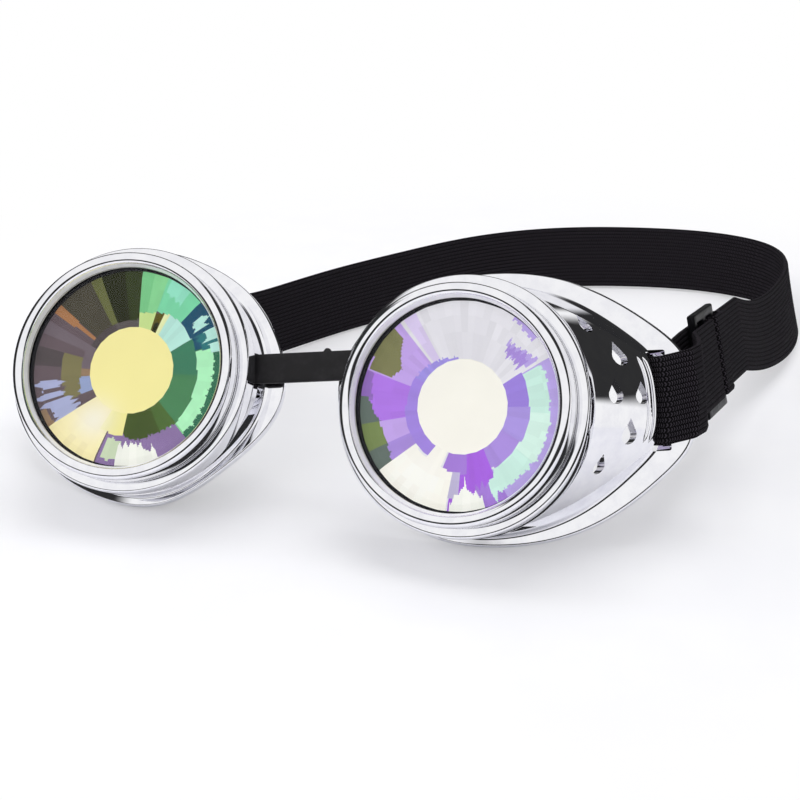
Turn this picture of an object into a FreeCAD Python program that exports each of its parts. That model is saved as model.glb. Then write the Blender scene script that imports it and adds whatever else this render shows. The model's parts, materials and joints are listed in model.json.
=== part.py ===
"""Round-lens goggles: two chromed eye cups, screw-on rings, faceted lenses and an elastic head strap.

Lengths are in millimetres. The goggles lie as on a table, leaning back on the strap: the lenses face -Y,
+X is to the right of someone who looks at the lenses, +Z is up, and the left eyepiece is the one at -X.
Each eyepiece is drawn in a frame of its own: the origin is in the middle of the ring's front plane,
+x points to the temple, +y is the depth behind that plane and +z is up. The left one is its mirror image.
"""
import math
import os

import FreeCAD
import Part

from FreeCAD import Placement, Rotation, Vector

# Lens: flat front, cylindrical edge, two rows of facets round a flat table at the back
LENS_DIAMETER = 50.0
LENS_EDGE = 2.6
FACET_COUNT = 24
OUTER_FACET_DEPTH = 2.9
INNER_FACET_DEPTH = 1.9
FACET_BREAK_DIAMETER = 29.0
TABLE_DIAMETER = 21.4

# Screw-on ring, with its slip washer in front of the lens
GRIP_STEP = 0.8
LENS_HOLD = 0.9
RING_APERTURE_FLARE = 0.9
RING_LIP = 2.4
RING_GRIP_LENGTH = 5.6
RING_CORNER_RADIUS = 1.3
RING_CORNER_STEPS = 3
RING_SKIRT_LENGTH = 4.2
RING_SKIRT_WALL = 1.4
LENS_SIDE_CLEARANCE = 0.3
GRIP_GROOVE_DEPTH = 0.45
GRIP_GROOVE_WIDTH = 0.5
WASHER_THICKNESS = 0.4
WASHER_WIDTH = 0.8
SEAT_PLAY = 0.05

# Cup: threaded collar, tube that carries the lens, flared wall and rim
COLLAR_WALL = 3.0
COLLAR_CHAMFER = 0.6
COLLAR_FLOOR = 1.8
THREAD_CLEARANCE = 0.3
SHOULDER_GAP = 0.3
SKIRT_END_GAP = 0.6
GASKET_THICKNESS = 1.0
GASKET_WIDTH = 2.4
SEAT_TUBE_WALL = 2.4
NECK_LEDGE = 0.3
CUP_WALL = 1.8
RIM_LIP = 2.2
RIM_THICKNESS = 2.6
RIM_NOSE_DEPTH = 19.5
RIM_TEMPLE_DEPTH = 43.0
FACE_RADIUS = 160.0

# Webbing of the head strap and the way it is held
STRAP_WIDTH = 21.0
STRAP_THICKNESS = 1.5
SOFT_GAP = 0.3
SLOT_WIDTH = 4.2
SLOT_END_PLAY = 1.4
SLOT_FROM_RIM = 8.0
BAR_BOW = 1.2
LOOP_LIFT = 0.9
LEFT_PULL = Vector(-0.35, 0.90, 0.27)
RIGHT_PULL = Vector(0.10, 0.96, 0.30)
LEFT_LOOP_LENGTH = 18.0
LEFT_SEAM_LENGTH = 6.0

# Outer edge of the rim, seen from the front: its temple end fits the strap, the rest runs over brow and nose
TEMPLE_REACH = 46.2
TEMPLE_END_REACH = 45.0
TEMPLE_END_INSET = 0.5
SHOULDER_REACH = 38.3
SHOULDER_RISE = 7.7
BROW_OUTLINE = [(22.0, 28.8), (0.0, 32.2), (-20.0, 27.0), (-34.8, 8.0)]
CHEEK_OUTLINE = [(-28.8, -12.0), (-17.0, -27.0), (2.0, -32.2), (24.0, -28.2)]

# Vents in the temple wall: distance from the collar along the wall, height, radius
VENTS = [
    (6.5, 17.0, 1.5), (13.0, 9.5, 1.9), (9.0, 0.5, 1.9),
    (18.5, 0.5, 1.7), (14.0, -8.5, 1.9), (6.5, -15.5, 1.4),
]
VENT_POINT = 2.1

# Two bowed ribs in front of the strap slot: distances from the collar, size, bow and half length
RIB_DISTANCES = (20.8, 22.8)
RIB_WIDTH = 0.6
RIB_HEIGHT = 0.5
RIB_BOW = 1.2
RIB_END_INSET = 0.5

# Strap slider: flat frame with two openings
SLIDER_AT = 33.0
SLIDER_THICKNESS = 2.0
SLIDER_BAR = 2.6
SLIDER_OPENING = 5.2
SLIDER_SIDE = 2.6
SLIDER_END_PLAY = 0.5
SLIDER_CORNER_RADIUS = 1.5
STRAP_RUN_LENGTH = 20.0

# Nose bridge: flat strip with a cross bar at each end, inside the cups
BRIDGE_WIDTH = 7.2
BRIDGE_THICKNESS = 1.6
BRIDGE_CLEARANCE = 0.3
BRIDGE_DEPTH = 14.3
BRIDGE_ANGLE = 26.0
BRIDGE_INSIDE = 5.4
BRIDGE_BAR_WIDTH = 2.2
BRIDGE_BAR_LENGTH = 11.5

# How each eyepiece lies: spacing of the ring centres, then lean back, turn to the nose and roll
EYE_SPACING = 81.3
LEFT_LEAN = 31.1
LEFT_TOE = 3.8
LEFT_ROLL = 18.4
RIGHT_LEAN = 24.2
RIGHT_TOE = 7.0
RIGHT_ROLL = 14.0

# Free part of the strap behind the goggles: X and Y from the middle of the ring centres, height of its
# middle, and how far its top leans away from the head, in degrees
STRAP_ROUTE = [
    (-60.0, 81.4, 17.6, 0.0), (-52.5, 99.4, 13.4, 3.0), (-46.0, 119.4, 11.3, 7.0),
    (-36.5, 141.4, 10.8, 10.0), (-21.5, 166.4, 10.8, 12.0), (-1.0, 194.4, 10.8, 14.0),
    (24.0, 212.4, 10.8, 15.0), (50.0, 220.4, 10.8, 15.0), (75.0, 221.4, 10.8, 12.0),
    (93.0, 212.9, 11.0, 2.0), (102.5, 194.4, 11.3, -10.0), (104.0, 172.4, 12.0, -19.0),
    (101.0, 144.4, 14.5, -22.0),
]

# Depths of the stack behind the ring's front plane
LIP_BACK = RING_LIP
WASHER_FRONT = LIP_BACK + SEAT_PLAY
LENS_FRONT = WASHER_FRONT + WASHER_THICKNESS + SEAT_PLAY
LENS_BACK = LENS_FRONT + LENS_EDGE
GASKET_FRONT = LENS_BACK + SEAT_PLAY
SEAT_FRONT = GASKET_FRONT + GASKET_THICKNESS + SEAT_PLAY
COLLAR_FRONT = RING_GRIP_LENGTH + SHOULDER_GAP
SKIRT_BACK = RING_GRIP_LENGTH + RING_SKIRT_LENGTH
FLOOR_FRONT = SKIRT_BACK + SKIRT_END_GAP
COLLAR_BACK = FLOOR_FRONT + COLLAR_FLOOR

# Radii that follow from the lens
LENS_RADIUS = LENS_DIAMETER / 2
SKIRT_BORE_RADIUS = LENS_RADIUS + LENS_SIDE_CLEARANCE
SKIRT_RADIUS = SKIRT_BORE_RADIUS + RING_SKIRT_WALL
COLLAR_BORE_RADIUS = SKIRT_RADIUS + THREAD_CLEARANCE
SEAT_BORE_RADIUS = LENS_RADIUS - SEAT_TUBE_WALL
COLLAR_RADIUS = COLLAR_BORE_RADIUS + COLLAR_WALL
NECK_RADIUS = COLLAR_RADIUS - COLLAR_CHAMFER - NECK_LEDGE

# Whole outline of the rim, from the temple round over the brow, the nose and the cheek
TEMPLE_END_HEIGHT = STRAP_WIDTH / 2 - TEMPLE_END_INSET
SHOULDER_HEIGHT = STRAP_WIDTH / 2 + SHOULDER_RISE
RIM_OUTLINE = (
    [(TEMPLE_REACH, 0.0), (TEMPLE_END_REACH, TEMPLE_END_HEIGHT), (SHOULDER_REACH, SHOULDER_HEIGHT)]
    + BROW_OUTLINE + CHEEK_OUTLINE
    + [(SHOULDER_REACH, -SHOULDER_HEIGHT), (TEMPLE_END_REACH, -TEMPLE_END_HEIGHT)]
)

UP = Vector(0, 0, 1)
DEPTH = Vector(0, 1, 0)


def revolved(profile):
    """Solid of revolution about the eyepiece's axis from a closed list of (radius, depth) corners."""
    corners = [Vector(radius, depth, 0) for radius, depth in profile]
    face = Part.Face(Part.makePolygon(corners + corners[:1]))
    return face.revolve(Vector(0, 0, 0), DEPTH, 360)


def tube(inner_radius, outer_radius, front, back):
    """Plain ring about the eyepiece's axis."""
    return revolved([
        (inner_radius, front), (outer_radius, front), (outer_radius, back), (inner_radius, back)])


def rounded_edges(shape, radius, test):
    """Fillet of the edges that pass the test."""
    return shape.makeFillet(radius, [edge for edge in shape.Edges if test(edge)])


def lens():
    """Crystal lens with a flat front, two rows of facets and a flat table behind."""
    edge = tube(0, LENS_RADIUS, LENS_FRONT, LENS_BACK)
    rows = [
        (LENS_RADIUS - GASKET_WIDTH - LENS_SIDE_CLEARANCE, LENS_BACK),
        (FACET_BREAK_DIAMETER / 2, LENS_BACK + OUTER_FACET_DEPTH),
        (TABLE_DIAMETER / 2, LENS_BACK + OUTER_FACET_DEPTH + INNER_FACET_DEPTH),
    ]
    wires = [facet_polygon(radius, depth) for radius, depth in rows]
    return edge.fuse(Part.makeLoft(wires, True, True)).removeSplitter()


def facet_polygon(radius, depth):
    """Regular polygon across the eyepiece's axis, one side to each facet."""
    turns = [2 * math.pi * number / FACET_COUNT for number in range(FACET_COUNT + 1)]
    return Part.makePolygon([
        Vector(radius * math.cos(turn), depth, radius * math.sin(turn)) for turn in turns])


def slip_washer():
    """Thin washer that lets the ring turn without turning the lens."""
    return tube(LENS_RADIUS - WASHER_WIDTH, LENS_RADIUS, WASHER_FRONT, WASHER_FRONT + WASHER_THICKNESS)


def lens_gasket():
    """Soft ring between the lens and the tube that carries it."""
    return tube(LENS_RADIUS - GASKET_WIDTH, LENS_RADIUS, GASKET_FRONT, GASKET_FRONT + GASKET_THICKNESS)


def lens_ring():
    """Ring with a flared aperture, a rounded grip with a turned groove, and the threaded skirt."""
    aperture = LENS_RADIUS - LENS_HOLD
    outside = SKIRT_RADIUS + GRIP_STEP
    groove_front = RING_GRIP_LENGTH - 2 * GRIP_GROOVE_WIDTH
    groove_back = groove_front + GRIP_GROOVE_WIDTH
    return revolved([(aperture + RING_APERTURE_FLARE, 0)] + ring_corner(outside) + [
        (outside, groove_front),
        (outside - GRIP_GROOVE_DEPTH, groove_front), (outside - GRIP_GROOVE_DEPTH, groove_back),
        (outside, groove_back), (outside, RING_GRIP_LENGTH), (SKIRT_RADIUS, RING_GRIP_LENGTH),
        (SKIRT_RADIUS, SKIRT_BACK), (SKIRT_BORE_RADIUS, SKIRT_BACK), (SKIRT_BORE_RADIUS, LIP_BACK),
        (aperture, LIP_BACK),
    ])


def ring_corner(outside):
    """Rounded outer corner of the ring's front face, as a few straight steps."""
    turns = [math.pi / 2 * step / RING_CORNER_STEPS for step in range(RING_CORNER_STEPS + 1)]
    return [
        (outside - RING_CORNER_RADIUS * (1 - math.sin(turn)), RING_CORNER_RADIUS * (1 - math.cos(turn)))
        for turn in turns]


def collar():
    """Front of the cup: threaded collar with chamfered edges, its floor and the tube under the lens."""
    return revolved([
        (COLLAR_BORE_RADIUS, COLLAR_FRONT), (COLLAR_RADIUS - COLLAR_CHAMFER, COLLAR_FRONT),
        (COLLAR_RADIUS, COLLAR_FRONT + COLLAR_CHAMFER), (COLLAR_RADIUS, COLLAR_BACK - COLLAR_CHAMFER),
        (COLLAR_RADIUS - COLLAR_CHAMFER, COLLAR_BACK), (SEAT_BORE_RADIUS, COLLAR_BACK),
        (SEAT_BORE_RADIUS, SEAT_FRONT), (LENS_RADIUS, SEAT_FRONT),
        (LENS_RADIUS, FLOOR_FRONT), (COLLAR_BORE_RADIUS, FLOOR_FRONT),
    ])


def outline_angles():
    """Angle of each corner of the rim's outline, rising from the temple."""
    return [math.atan2(z, x) % (2 * math.pi) for x, z in RIM_OUTLINE]


def smooth_wire(points):
    """Closed smooth curve through points that stand at the outline's angles."""
    curve = Part.BSplineCurve()
    curve.interpolate(Points=points, PeriodicFlag=True, Parameters=outline_angles() + [2 * math.pi])
    return Part.Wire(curve.toShape())


def neck_wire(radius, depth):
    """Round section of the cup's neck."""
    return smooth_wire([Vector(radius * math.cos(a), depth, radius * math.sin(a)) for a in outline_angles()])


def rim_wire(inset, depth_at):
    """Outline of the rim, drawn in by a distance, at the depth that a function of x gives."""
    points = []
    for x, z in RIM_OUTLINE:
        share = 1 - inset / math.hypot(x, z)
        points.append(Vector(x * share, depth_at(x * share), z * share))
    return smooth_wire(points)


def rim_chord(x):
    """Depth of the straight line from the rim's nose end to its temple end."""
    nose_x = min(corner[0] for corner in RIM_OUTLINE)
    temple_x = max(corner[0] for corner in RIM_OUTLINE)
    slope = (RIM_TEMPLE_DEPTH - RIM_NOSE_DEPTH) / (temple_x - nose_x)
    return RIM_NOSE_DEPTH + slope * (x - nose_x)


def face_centre():
    """Axis of the upright cylinder that stands for the face and touches both ends of the rim."""
    nose_x = min(corner[0] for corner in RIM_OUTLINE)
    temple_x = max(corner[0] for corner in RIM_OUTLINE)
    nose = Vector(nose_x, RIM_NOSE_DEPTH, 0)
    chord = Vector(temple_x, RIM_TEMPLE_DEPTH, 0) - nose
    backwards = Vector(-chord.y, chord.x, 0).normalize()
    return nose + chord / 2 + backwards * math.sqrt(FACE_RADIUS**2 - (chord.Length / 2)**2)


def face_cylinder(radius):
    """Upright cylinder about the face's axis, taller than the cup."""
    height = 4 * COLLAR_RADIUS
    return Part.makeCylinder(radius, height, face_centre() - UP * height / 2, UP)


def cup_cone(inset, front):
    """Solid from the cup's neck to the rim's outline, run on behind the rim."""
    neck = neck_wire(NECK_RADIUS - inset, front)
    rim = rim_wire(RIM_LIP + inset, lambda x: rim_chord(x) + RIM_THICKNESS)
    return Part.makeLoft([neck, rim], True, True)


def rim_prism(inset):
    """Straight prism on the rim's outline, longer than the cup is deep."""
    face = Part.Face(rim_wire(inset, lambda x: 0))
    return face.extrude(DEPTH * 2 * RIM_TEMPLE_DEPTH)


def rim():
    """Flat lip that follows the face round the back of the cup."""
    band = rim_prism(0).cut(rim_prism(RIM_LIP + CUP_WALL))
    zone = face_cylinder(FACE_RADIUS + RIM_THICKNESS).cut(face_cylinder(FACE_RADIUS))
    return band.common(zone)


def wall_start():
    """Point on the temple side where the wall leaves the neck, in the middle of its thickness."""
    return Vector(NECK_RADIUS - CUP_WALL / 2, COLLAR_BACK, 0)


def wall_direction():
    """Direction of the temple wall from the neck to the rim."""
    temple_x = max(corner[0] for corner in RIM_OUTLINE) - RIM_LIP
    return (Vector(temple_x - CUP_WALL / 2, rim_chord(temple_x), 0) - wall_start()).normalize()


def wall_outward():
    """Outward normal of the temple wall."""
    along = wall_direction()
    return Vector(along.y, -along.x, 0)


def slot_centre():
    """Middle of the strap slot in the temple wall."""
    temple_x = max(corner[0] for corner in RIM_OUTLINE) - RIM_LIP
    rim_end = Vector(temple_x - CUP_WALL / 2, rim_chord(temple_x), 0)
    return rim_end - wall_direction() * SLOT_FROM_RIM


def block(centre, along, across, length, width, height):
    """Box about a centre, with its length and width along two directions and its height square to both."""
    corner = centre - along * (length / 2) - across * (width / 2)
    far = corner + along * length
    base = Part.makePolygon([corner, far, far + across * width, corner + across * width, corner])
    upright = along.cross(across).normalize()
    solid = Part.Face(base).extrude(upright * height)
    solid.translate(upright * (-height / 2))
    return solid


def strap_slot():
    """Cutter of the upright strap slot."""
    reach = 6 * CUP_WALL
    height = STRAP_WIDTH + 2 * SLOT_END_PLAY
    return block(slot_centre(), wall_direction(), wall_outward(), SLOT_WIDTH, reach, height)


def vent(distance, height, radius):
    """Cutter of a drop-shaped vent in the temple wall, with its point upwards."""
    along = wall_direction()
    outward = wall_outward()
    reach = 5 * CUP_WALL
    centre = wall_start() + along * distance + UP * height - outward * reach
    tip = centre + UP * radius * VENT_POINT
    side_angle = math.acos(1 / VENT_POINT)
    sides = [
        centre + UP * radius * math.cos(side_angle) + along * radius * math.sin(side_angle) * sign
        for sign in (1, -1)]
    bowl = Part.Arc(sides[0], centre - UP * radius, sides[1]).toShape()
    edges = [bowl, Part.makeLine(sides[1], tip), Part.makeLine(tip, sides[0])]
    return Part.Face(Part.Wire(edges)).extrude(outward * 2 * reach)


def rib(distance):
    """Bowed upright rib on the temple wall, cut out of a skin of its height over the wall."""
    along = wall_direction()
    outward = wall_outward()
    reach = 6 * CUP_WALL
    half_length = STRAP_WIDTH / 2 - RIB_END_INSET
    start = wall_start() + along * distance - outward * reach
    corners = []
    for shift in (-RIB_WIDTH / 2, RIB_WIDTH / 2):
        middle = start + along * shift
        end = middle - along * RIB_BOW
        corners.append((end + UP * half_length, middle, end - UP * half_length))
    front, back = corners
    edges = [
        Part.Arc(*front).toShape(), Part.makeLine(front[2], back[2]),
        Part.Arc(*reversed(back)).toShape(), Part.makeLine(back[0], front[0]),
    ]
    prism = Part.Face(Part.Wire(edges)).extrude(outward * 2 * reach)
    return prism.common(cup_cone(-RIB_HEIGHT, COLLAR_BACK))


def eye_cup():
    """Eye cup with its collar, flared wall, ribs, rim, strap slot and vents."""
    cone = cup_cone(0, COLLAR_BACK).fuse([rib(distance) for distance in RIB_DISTANCES])
    hollow = cup_cone(CUP_WALL, FLOOR_FRONT)
    wall = cone.cut(hollow).cut(face_cylinder(FACE_RADIUS))
    cup = collar().fuse([wall, rim()])
    return cup.cut([strap_slot()] + [vent(*sizes) for sizes in VENTS])


def strap_side(pull):
    """Outward direction across a pull of the strap."""
    return pull.cross(UP).normalize()


def square_up(pull):
    """Upward direction square to a pull of the strap, which the slider's bars keep."""
    return strap_side(pull).cross(pull).normalize()


def strap_point(pull, along, outward):
    """Point beside the strap slot, in the plane of a pull and its outward direction."""
    return slot_centre() + Vector(pull).normalize() * along + strap_side(pull) * outward


def strap_ribbon(face, upward):
    """Webbing of the strap's width on a cross-section in the plane of the pull and the outward direction."""
    ribbon = face.extrude(upward * STRAP_WIDTH)
    ribbon.translate(upward * (-STRAP_WIDTH / 2))
    return ribbon


def strap_polygon(pull, corners):
    """Closed outline through corners given along and outward from the slot."""
    return Part.makePolygon([strap_point(pull, *corner) for corner in corners + corners[:1]])


def band_section(pull, corners):
    """Cross-section of a band of webbing round a list of inner corners."""
    inner = strap_polygon(pull, corners)
    return Part.Face(inner.makeOffset2D(STRAP_THICKNESS)).cut(Part.Face(inner))


def strip_section(pull, front, back):
    """Cross-section of a single straight layer of webbing."""
    half = STRAP_THICKNESS / 2
    return Part.Face(strap_polygon(pull, [(front, -half), (front, half), (back, half), (back, -half)]))


def zone_section(pull, front, back):
    """Cross-section that takes in everything beside the slot between two distances."""
    reach = 2 * COLLAR_RADIUS
    return Part.Face(strap_polygon(pull, [(front, -reach), (front, reach), (back, reach), (back, -reach)]))


def slider_stations():
    """Distances from the slot to both sides of each of the slider's three bars."""
    stations = [SLIDER_AT]
    for length in (SLIDER_BAR, SLIDER_OPENING, SLIDER_BAR, SLIDER_OPENING, SLIDER_BAR):
        stations.append(stations[-1] + length)
    return stations


def rim_edge(lift):
    """Outermost point of the rim at the temple, on the cylinder that lies a lift over the face."""
    centre = face_centre()
    depth = centre.y - math.sqrt((FACE_RADIUS + lift) ** 2 - (TEMPLE_REACH - centre.x) ** 2)
    return Vector(TEMPLE_REACH, depth, 0)


def lug_loop_corners(pull):
    """Inner corners of the webbing round the bar between strap slot and rim, from the slot's inside."""
    along = wall_direction()
    outward = wall_outward()
    through = slot_centre() + along * (SLOT_WIDTH / 2 - BAR_BOW - SOFT_GAP)
    corners = [
        through - outward * (CUP_WALL + BAR_BOW),
        through + outward * CUP_WALL,
        rim_edge(RIM_THICKNESS) + (outward - along) * LOOP_LIFT,
        rim_edge(0) + (outward + along) * LOOP_LIFT,
    ]
    offsets = [corner - slot_centre() for corner in corners]
    direction = Vector(pull).normalize()
    return [(offset.dot(direction), offset.dot(strap_side(pull))) for offset in offsets]


def right_strap_loop():
    """Webbing round the cup's bar, where it is upright, and round the slider's first two bars."""
    pull = RIGHT_PULL
    stations = slider_stations()
    half = SLIDER_THICKNESS / 2 + SOFT_GAP
    turn = stations[3] + SOFT_GAP
    skew = STRAP_WIDTH * math.sin(UP.getAngle(square_up(pull)))
    join = stations[0] - SOFT_GAP
    section = band_section(pull, lug_loop_corners(pull) + [
        (join - skew, half), (turn, half), (turn, -half), (join - skew, -half)])
    reach = 2 * COLLAR_RADIUS
    front = strap_ribbon(section.common(zone_section(pull, -reach, join)), UP)
    back = strap_ribbon(section.common(zone_section(pull, join - skew / 2, turn + reach)), square_up(pull))
    return front.fuse(back).removeSplitter()


def left_strap_loop():
    """Webbing that goes round the cup's bar and is sewn to itself."""
    half = SOFT_GAP / 2
    seam_end = LEFT_LOOP_LENGTH + LEFT_SEAM_LENGTH
    section = band_section(LEFT_PULL, lug_loop_corners(LEFT_PULL) + [
        (LEFT_LOOP_LENGTH, half), (seam_end, half), (seam_end, -half), (LEFT_LOOP_LENGTH, -half)])
    return strap_ribbon(section, UP)


def strap_slider():
    """Flat slider frame with three bars and two openings for the webbing."""
    stations = slider_stations()
    pull = Vector(RIGHT_PULL).normalize()
    side = strap_side(pull)
    opening_height = STRAP_WIDTH + 2 * SLIDER_END_PLAY
    height = opening_height + 2 * SLIDER_SIDE
    length = stations[-1] - stations[0]
    centre = strap_point(pull, (stations[0] + stations[-1]) / 2, 0)
    frame = block(centre, pull, side, length, SLIDER_THICKNESS, height)
    frame = rounded_edges(
        frame, SLIDER_CORNER_RADIUS, lambda edge: abs(edge.tangentAt(edge.FirstParameter).dot(side)) > 0.99)
    for front, back in ((stations[1], stations[2]), (stations[3], stations[4])):
        middle = strap_point(pull, (front + back) / 2, 0)
        frame = frame.cut(block(middle, pull, side, back - front, 2 * SLIDER_THICKNESS, opening_height))
    return frame


def strap_run():
    """Straight run of the strap behind the slider, folded round the slider's last bar and sewn."""
    pull = RIGHT_PULL
    stations = slider_stations()
    half = SLIDER_THICKNESS / 2 + SOFT_GAP
    turn = stations[4] - SOFT_GAP
    close = stations[5] + SLIDER_BAR
    seam = close + SLIDER_BAR
    slack = SOFT_GAP / 2
    fold = strap_ribbon(band_section(pull, [
        (turn, half), (close, half), (seam, slack), (seam, -slack), (close, -half), (turn, -half),
    ]), square_up(pull))
    run = strap_ribbon(strip_section(pull, seam + STRAP_THICKNESS / 2, run_end()), square_up(pull))
    return fold.fuse(run).removeSplitter()


def run_end():
    """Distance from the slot to the end of the straight run."""
    return slider_stations()[5] + 2 * SLIDER_BAR + STRAP_THICKNESS / 2 + STRAP_RUN_LENGTH


def left_loop_end():
    """Distance from the slot to the sewn end of the left loop."""
    return LEFT_LOOP_LENGTH + LEFT_SEAM_LENGTH + STRAP_THICKNESS


def mirrored(shape):
    """Mirror image of a right-hand piece for the left eyepiece."""
    return shape.mirror(Vector(0, 0, 0), Vector(1, 0, 0))


def eye_placement(side):
    """Lean, turn and roll of an eyepiece about its ring centre, which stands at half the eye spacing."""
    lean, toe, roll, sign = {
        "left": (LEFT_LEAN, LEFT_TOE, LEFT_ROLL, -1),
        "right": (RIGHT_LEAN, RIGHT_TOE, RIGHT_ROLL, 1),
    }[side]
    turn = Rotation(UP, -sign * toe) * Rotation(Vector(1, 0, 0), -lean) * Rotation(DEPTH, -sign * roll)
    return Placement(Vector(sign * EYE_SPACING / 2, 0, 0), turn)


def placed(shape, side, placement):
    """Right-hand piece in the place of one eyepiece."""
    piece = mirrored(shape) if side == "left" else shape.copy()
    return piece.transformed(placement.toMatrix())


def side_point(point, side, placement):
    """Point of an eyepiece's own frame in the common frame."""
    local = Vector(-point.x, point.y, point.z) if side == "left" else Vector(point)
    return placement.multVec(local)


def side_direction(direction, side, placement):
    """Direction of an eyepiece's own frame in the common frame."""
    local = Vector(-direction.x, direction.y, direction.z) if side == "left" else Vector(direction)
    return placement.Rotation.multVec(local)


def standing_placements():
    """Places of both eyepieces, each let down until it touches the table."""
    cup = eye_cup()
    placements = {}
    for side in ("left", "right"):
        placement = eye_placement(side)
        lowest = placed(cup, side, placement).optimalBoundingBox().ZMin
        placements[side] = Placement(placement.Base - UP * lowest, placement.Rotation)
    return cup, placements


def bridge_ends(placements):
    """Points in the nose walls of the left and right cup where the strip goes through."""
    angle = math.radians(180 - BRIDGE_ANGLE)
    through = Vector(NECK_RADIUS * math.cos(angle), BRIDGE_DEPTH, NECK_RADIUS * math.sin(angle))
    return [side_point(through, side, placements[side]) for side in ("left", "right")]


def bridge_frame(placements):
    """Middle of the strip, its direction to the right and its upward width direction."""
    left, right = bridge_ends(placements)
    along = (right - left).normalize()
    lean = placements["left"].Rotation.multVec(DEPTH) + placements["right"].Rotation.multVec(DEPTH)
    return (left + right) / 2, along, along.cross(lean).normalize()


def nose_bridge(placements, clearance=0):
    """Strip between the cups, with its cross bars, or the cutter of its slots where a clearance is given."""
    middle, along, width = bridge_frame(placements)
    left, right = bridge_ends(placements)
    across = width.cross(along).normalize()
    length = (right - left).Length + 2 * BRIDGE_INSIDE
    thickness = BRIDGE_THICKNESS + 2 * clearance
    strip = block(middle, along, across, length, thickness, BRIDGE_WIDTH + 2 * clearance)
    if clearance:
        return strip
    for sign in (-1, 1):
        centre = middle + along * sign * (length + BRIDGE_BAR_WIDTH) / 2
        bar = block(centre, along, across, BRIDGE_BAR_WIDTH, BRIDGE_THICKNESS, BRIDGE_BAR_LENGTH)
        strip = strip.fuse(bar)
    return strip.removeSplitter()


def strap_sections(placements):
    """Middle, width direction and heading of the free strap at each station, from left to right."""
    start = strap_point(LEFT_PULL, left_loop_end() + SOFT_GAP, 0)
    end = strap_point(RIGHT_PULL, run_end() + SOFT_GAP, 0)
    points = [side_point(start, "left", placements["left"])]
    points += [Vector(*station[:3]) for station in STRAP_ROUTE]
    points += [side_point(end, "right", placements["right"])]
    first_heading = side_direction(Vector(LEFT_PULL).normalize(), "left", placements["left"])
    last_heading = side_direction(Vector(RIGHT_PULL).normalize(), "right", placements["right"]) * -1
    sections = [(points[0], side_direction(UP, "left", placements["left"]), first_heading)]
    for number, station in enumerate(STRAP_ROUTE, 1):
        heading = (points[number + 1] - points[number - 1]).normalize()
        away = UP.cross(heading).normalize()
        upward = UP + away * math.tan(math.radians(station[3]))
        sections.append((points[number], upward.normalize(), heading))
    last_up = side_direction(square_up(RIGHT_PULL), "right", placements["right"])
    return sections + [(points[-1], last_up, last_heading)]


def head_strap(placements):
    """Free part of the elastic strap, a flat band lofted through its stations."""
    wires = []
    for point, upward, heading in strap_sections(placements):
        side = heading.cross(upward).normalize() * (STRAP_THICKNESS / 2)
        half = upward * (STRAP_WIDTH / 2)
        corners = [point + side + half, point - side + half, point - side - half, point + side - half]
        wires.append(Part.makePolygon(corners + corners[:1]))
    return Part.makeLoft(wires, True, False)


def assembly():
    """Every piece of the goggles by name, with the places of both eyepieces."""
    cup, placements = standing_placements()
    slots = nose_bridge(placements, BRIDGE_CLEARANCE)
    pieces = {}
    for side in ("left", "right"):
        place = placements[side]
        pieces[side + "_eye_cup"] = placed(cup, side, place).cut(slots)
        for name, maker in (("lens_ring", lens_ring), ("slip_washer", slip_washer), ("crystal_lens", lens),
                            ("lens_gasket", lens_gasket)):
            pieces[side + "_" + name] = placed(maker(), side, place)
    pieces["nose_bridge"] = nose_bridge(placements)
    pieces["left_strap_loop"] = placed(left_strap_loop(), "left", placements["left"])
    pieces["right_strap_loop"] = placed(right_strap_loop(), "right", placements["right"])
    pieces["strap_slider"] = placed(strap_slider(), "right", placements["right"])
    pieces["right_strap_run"] = placed(strap_run(), "right", placements["right"])
    pieces["head_strap"] = head_strap(placements)
    return pieces, placements


def origin_shift(pieces):
    """Move that brings the middle of the goggles' footprint to the origin and the table to Z = 0."""
    box = FreeCAD.BoundBox()
    for piece in pieces.values():
        box.add(piece.optimalBoundingBox())
    return Vector(-box.Center.x, -box.Center.y, -box.ZMin)


def main():
    os.makedirs("parts", exist_ok=True)
    pieces = assembly()[0]
    shift = origin_shift(pieces)
    for name, piece in pieces.items():
        piece.translate(shift)
        piece.exportStep(os.path.join("parts", name + ".step"))


if __name__ == "__main__":
    main()
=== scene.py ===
"""Dress of the round-lens goggles: chromed cups and rings, faceted crystals, ribbed strap, and the studio.

Lengths inside the shape functions are millimetres in an eyepiece's own frame: +x to the temple, +y the depth
behind the ring's front plane, +z up. Meshes are written in metres in the frame of the whole object.
"""

import json
import math

import bmesh
import bpy
import numpy as np
from bpy.props import FloatProperty, FloatVectorProperty, IntProperty, PointerProperty
from mathutils import Matrix


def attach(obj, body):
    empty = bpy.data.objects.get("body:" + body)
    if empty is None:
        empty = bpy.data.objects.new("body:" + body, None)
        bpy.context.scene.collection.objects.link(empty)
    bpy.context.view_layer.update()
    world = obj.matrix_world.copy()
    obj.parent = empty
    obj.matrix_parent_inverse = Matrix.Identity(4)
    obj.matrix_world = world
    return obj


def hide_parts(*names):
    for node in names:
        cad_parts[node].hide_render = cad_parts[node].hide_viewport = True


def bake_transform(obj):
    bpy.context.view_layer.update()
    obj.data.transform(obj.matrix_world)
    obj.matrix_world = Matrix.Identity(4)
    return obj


bl_info = {
    "name": "Round-lens goggles",
    "version": (1, 0, 0),
    "blender": (4, 5, 0),
    "location": "View3D > Sidebar > Goggles",
    "description": "Builds the dressed goggles around their frame",
    "category": "Object",
}

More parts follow.
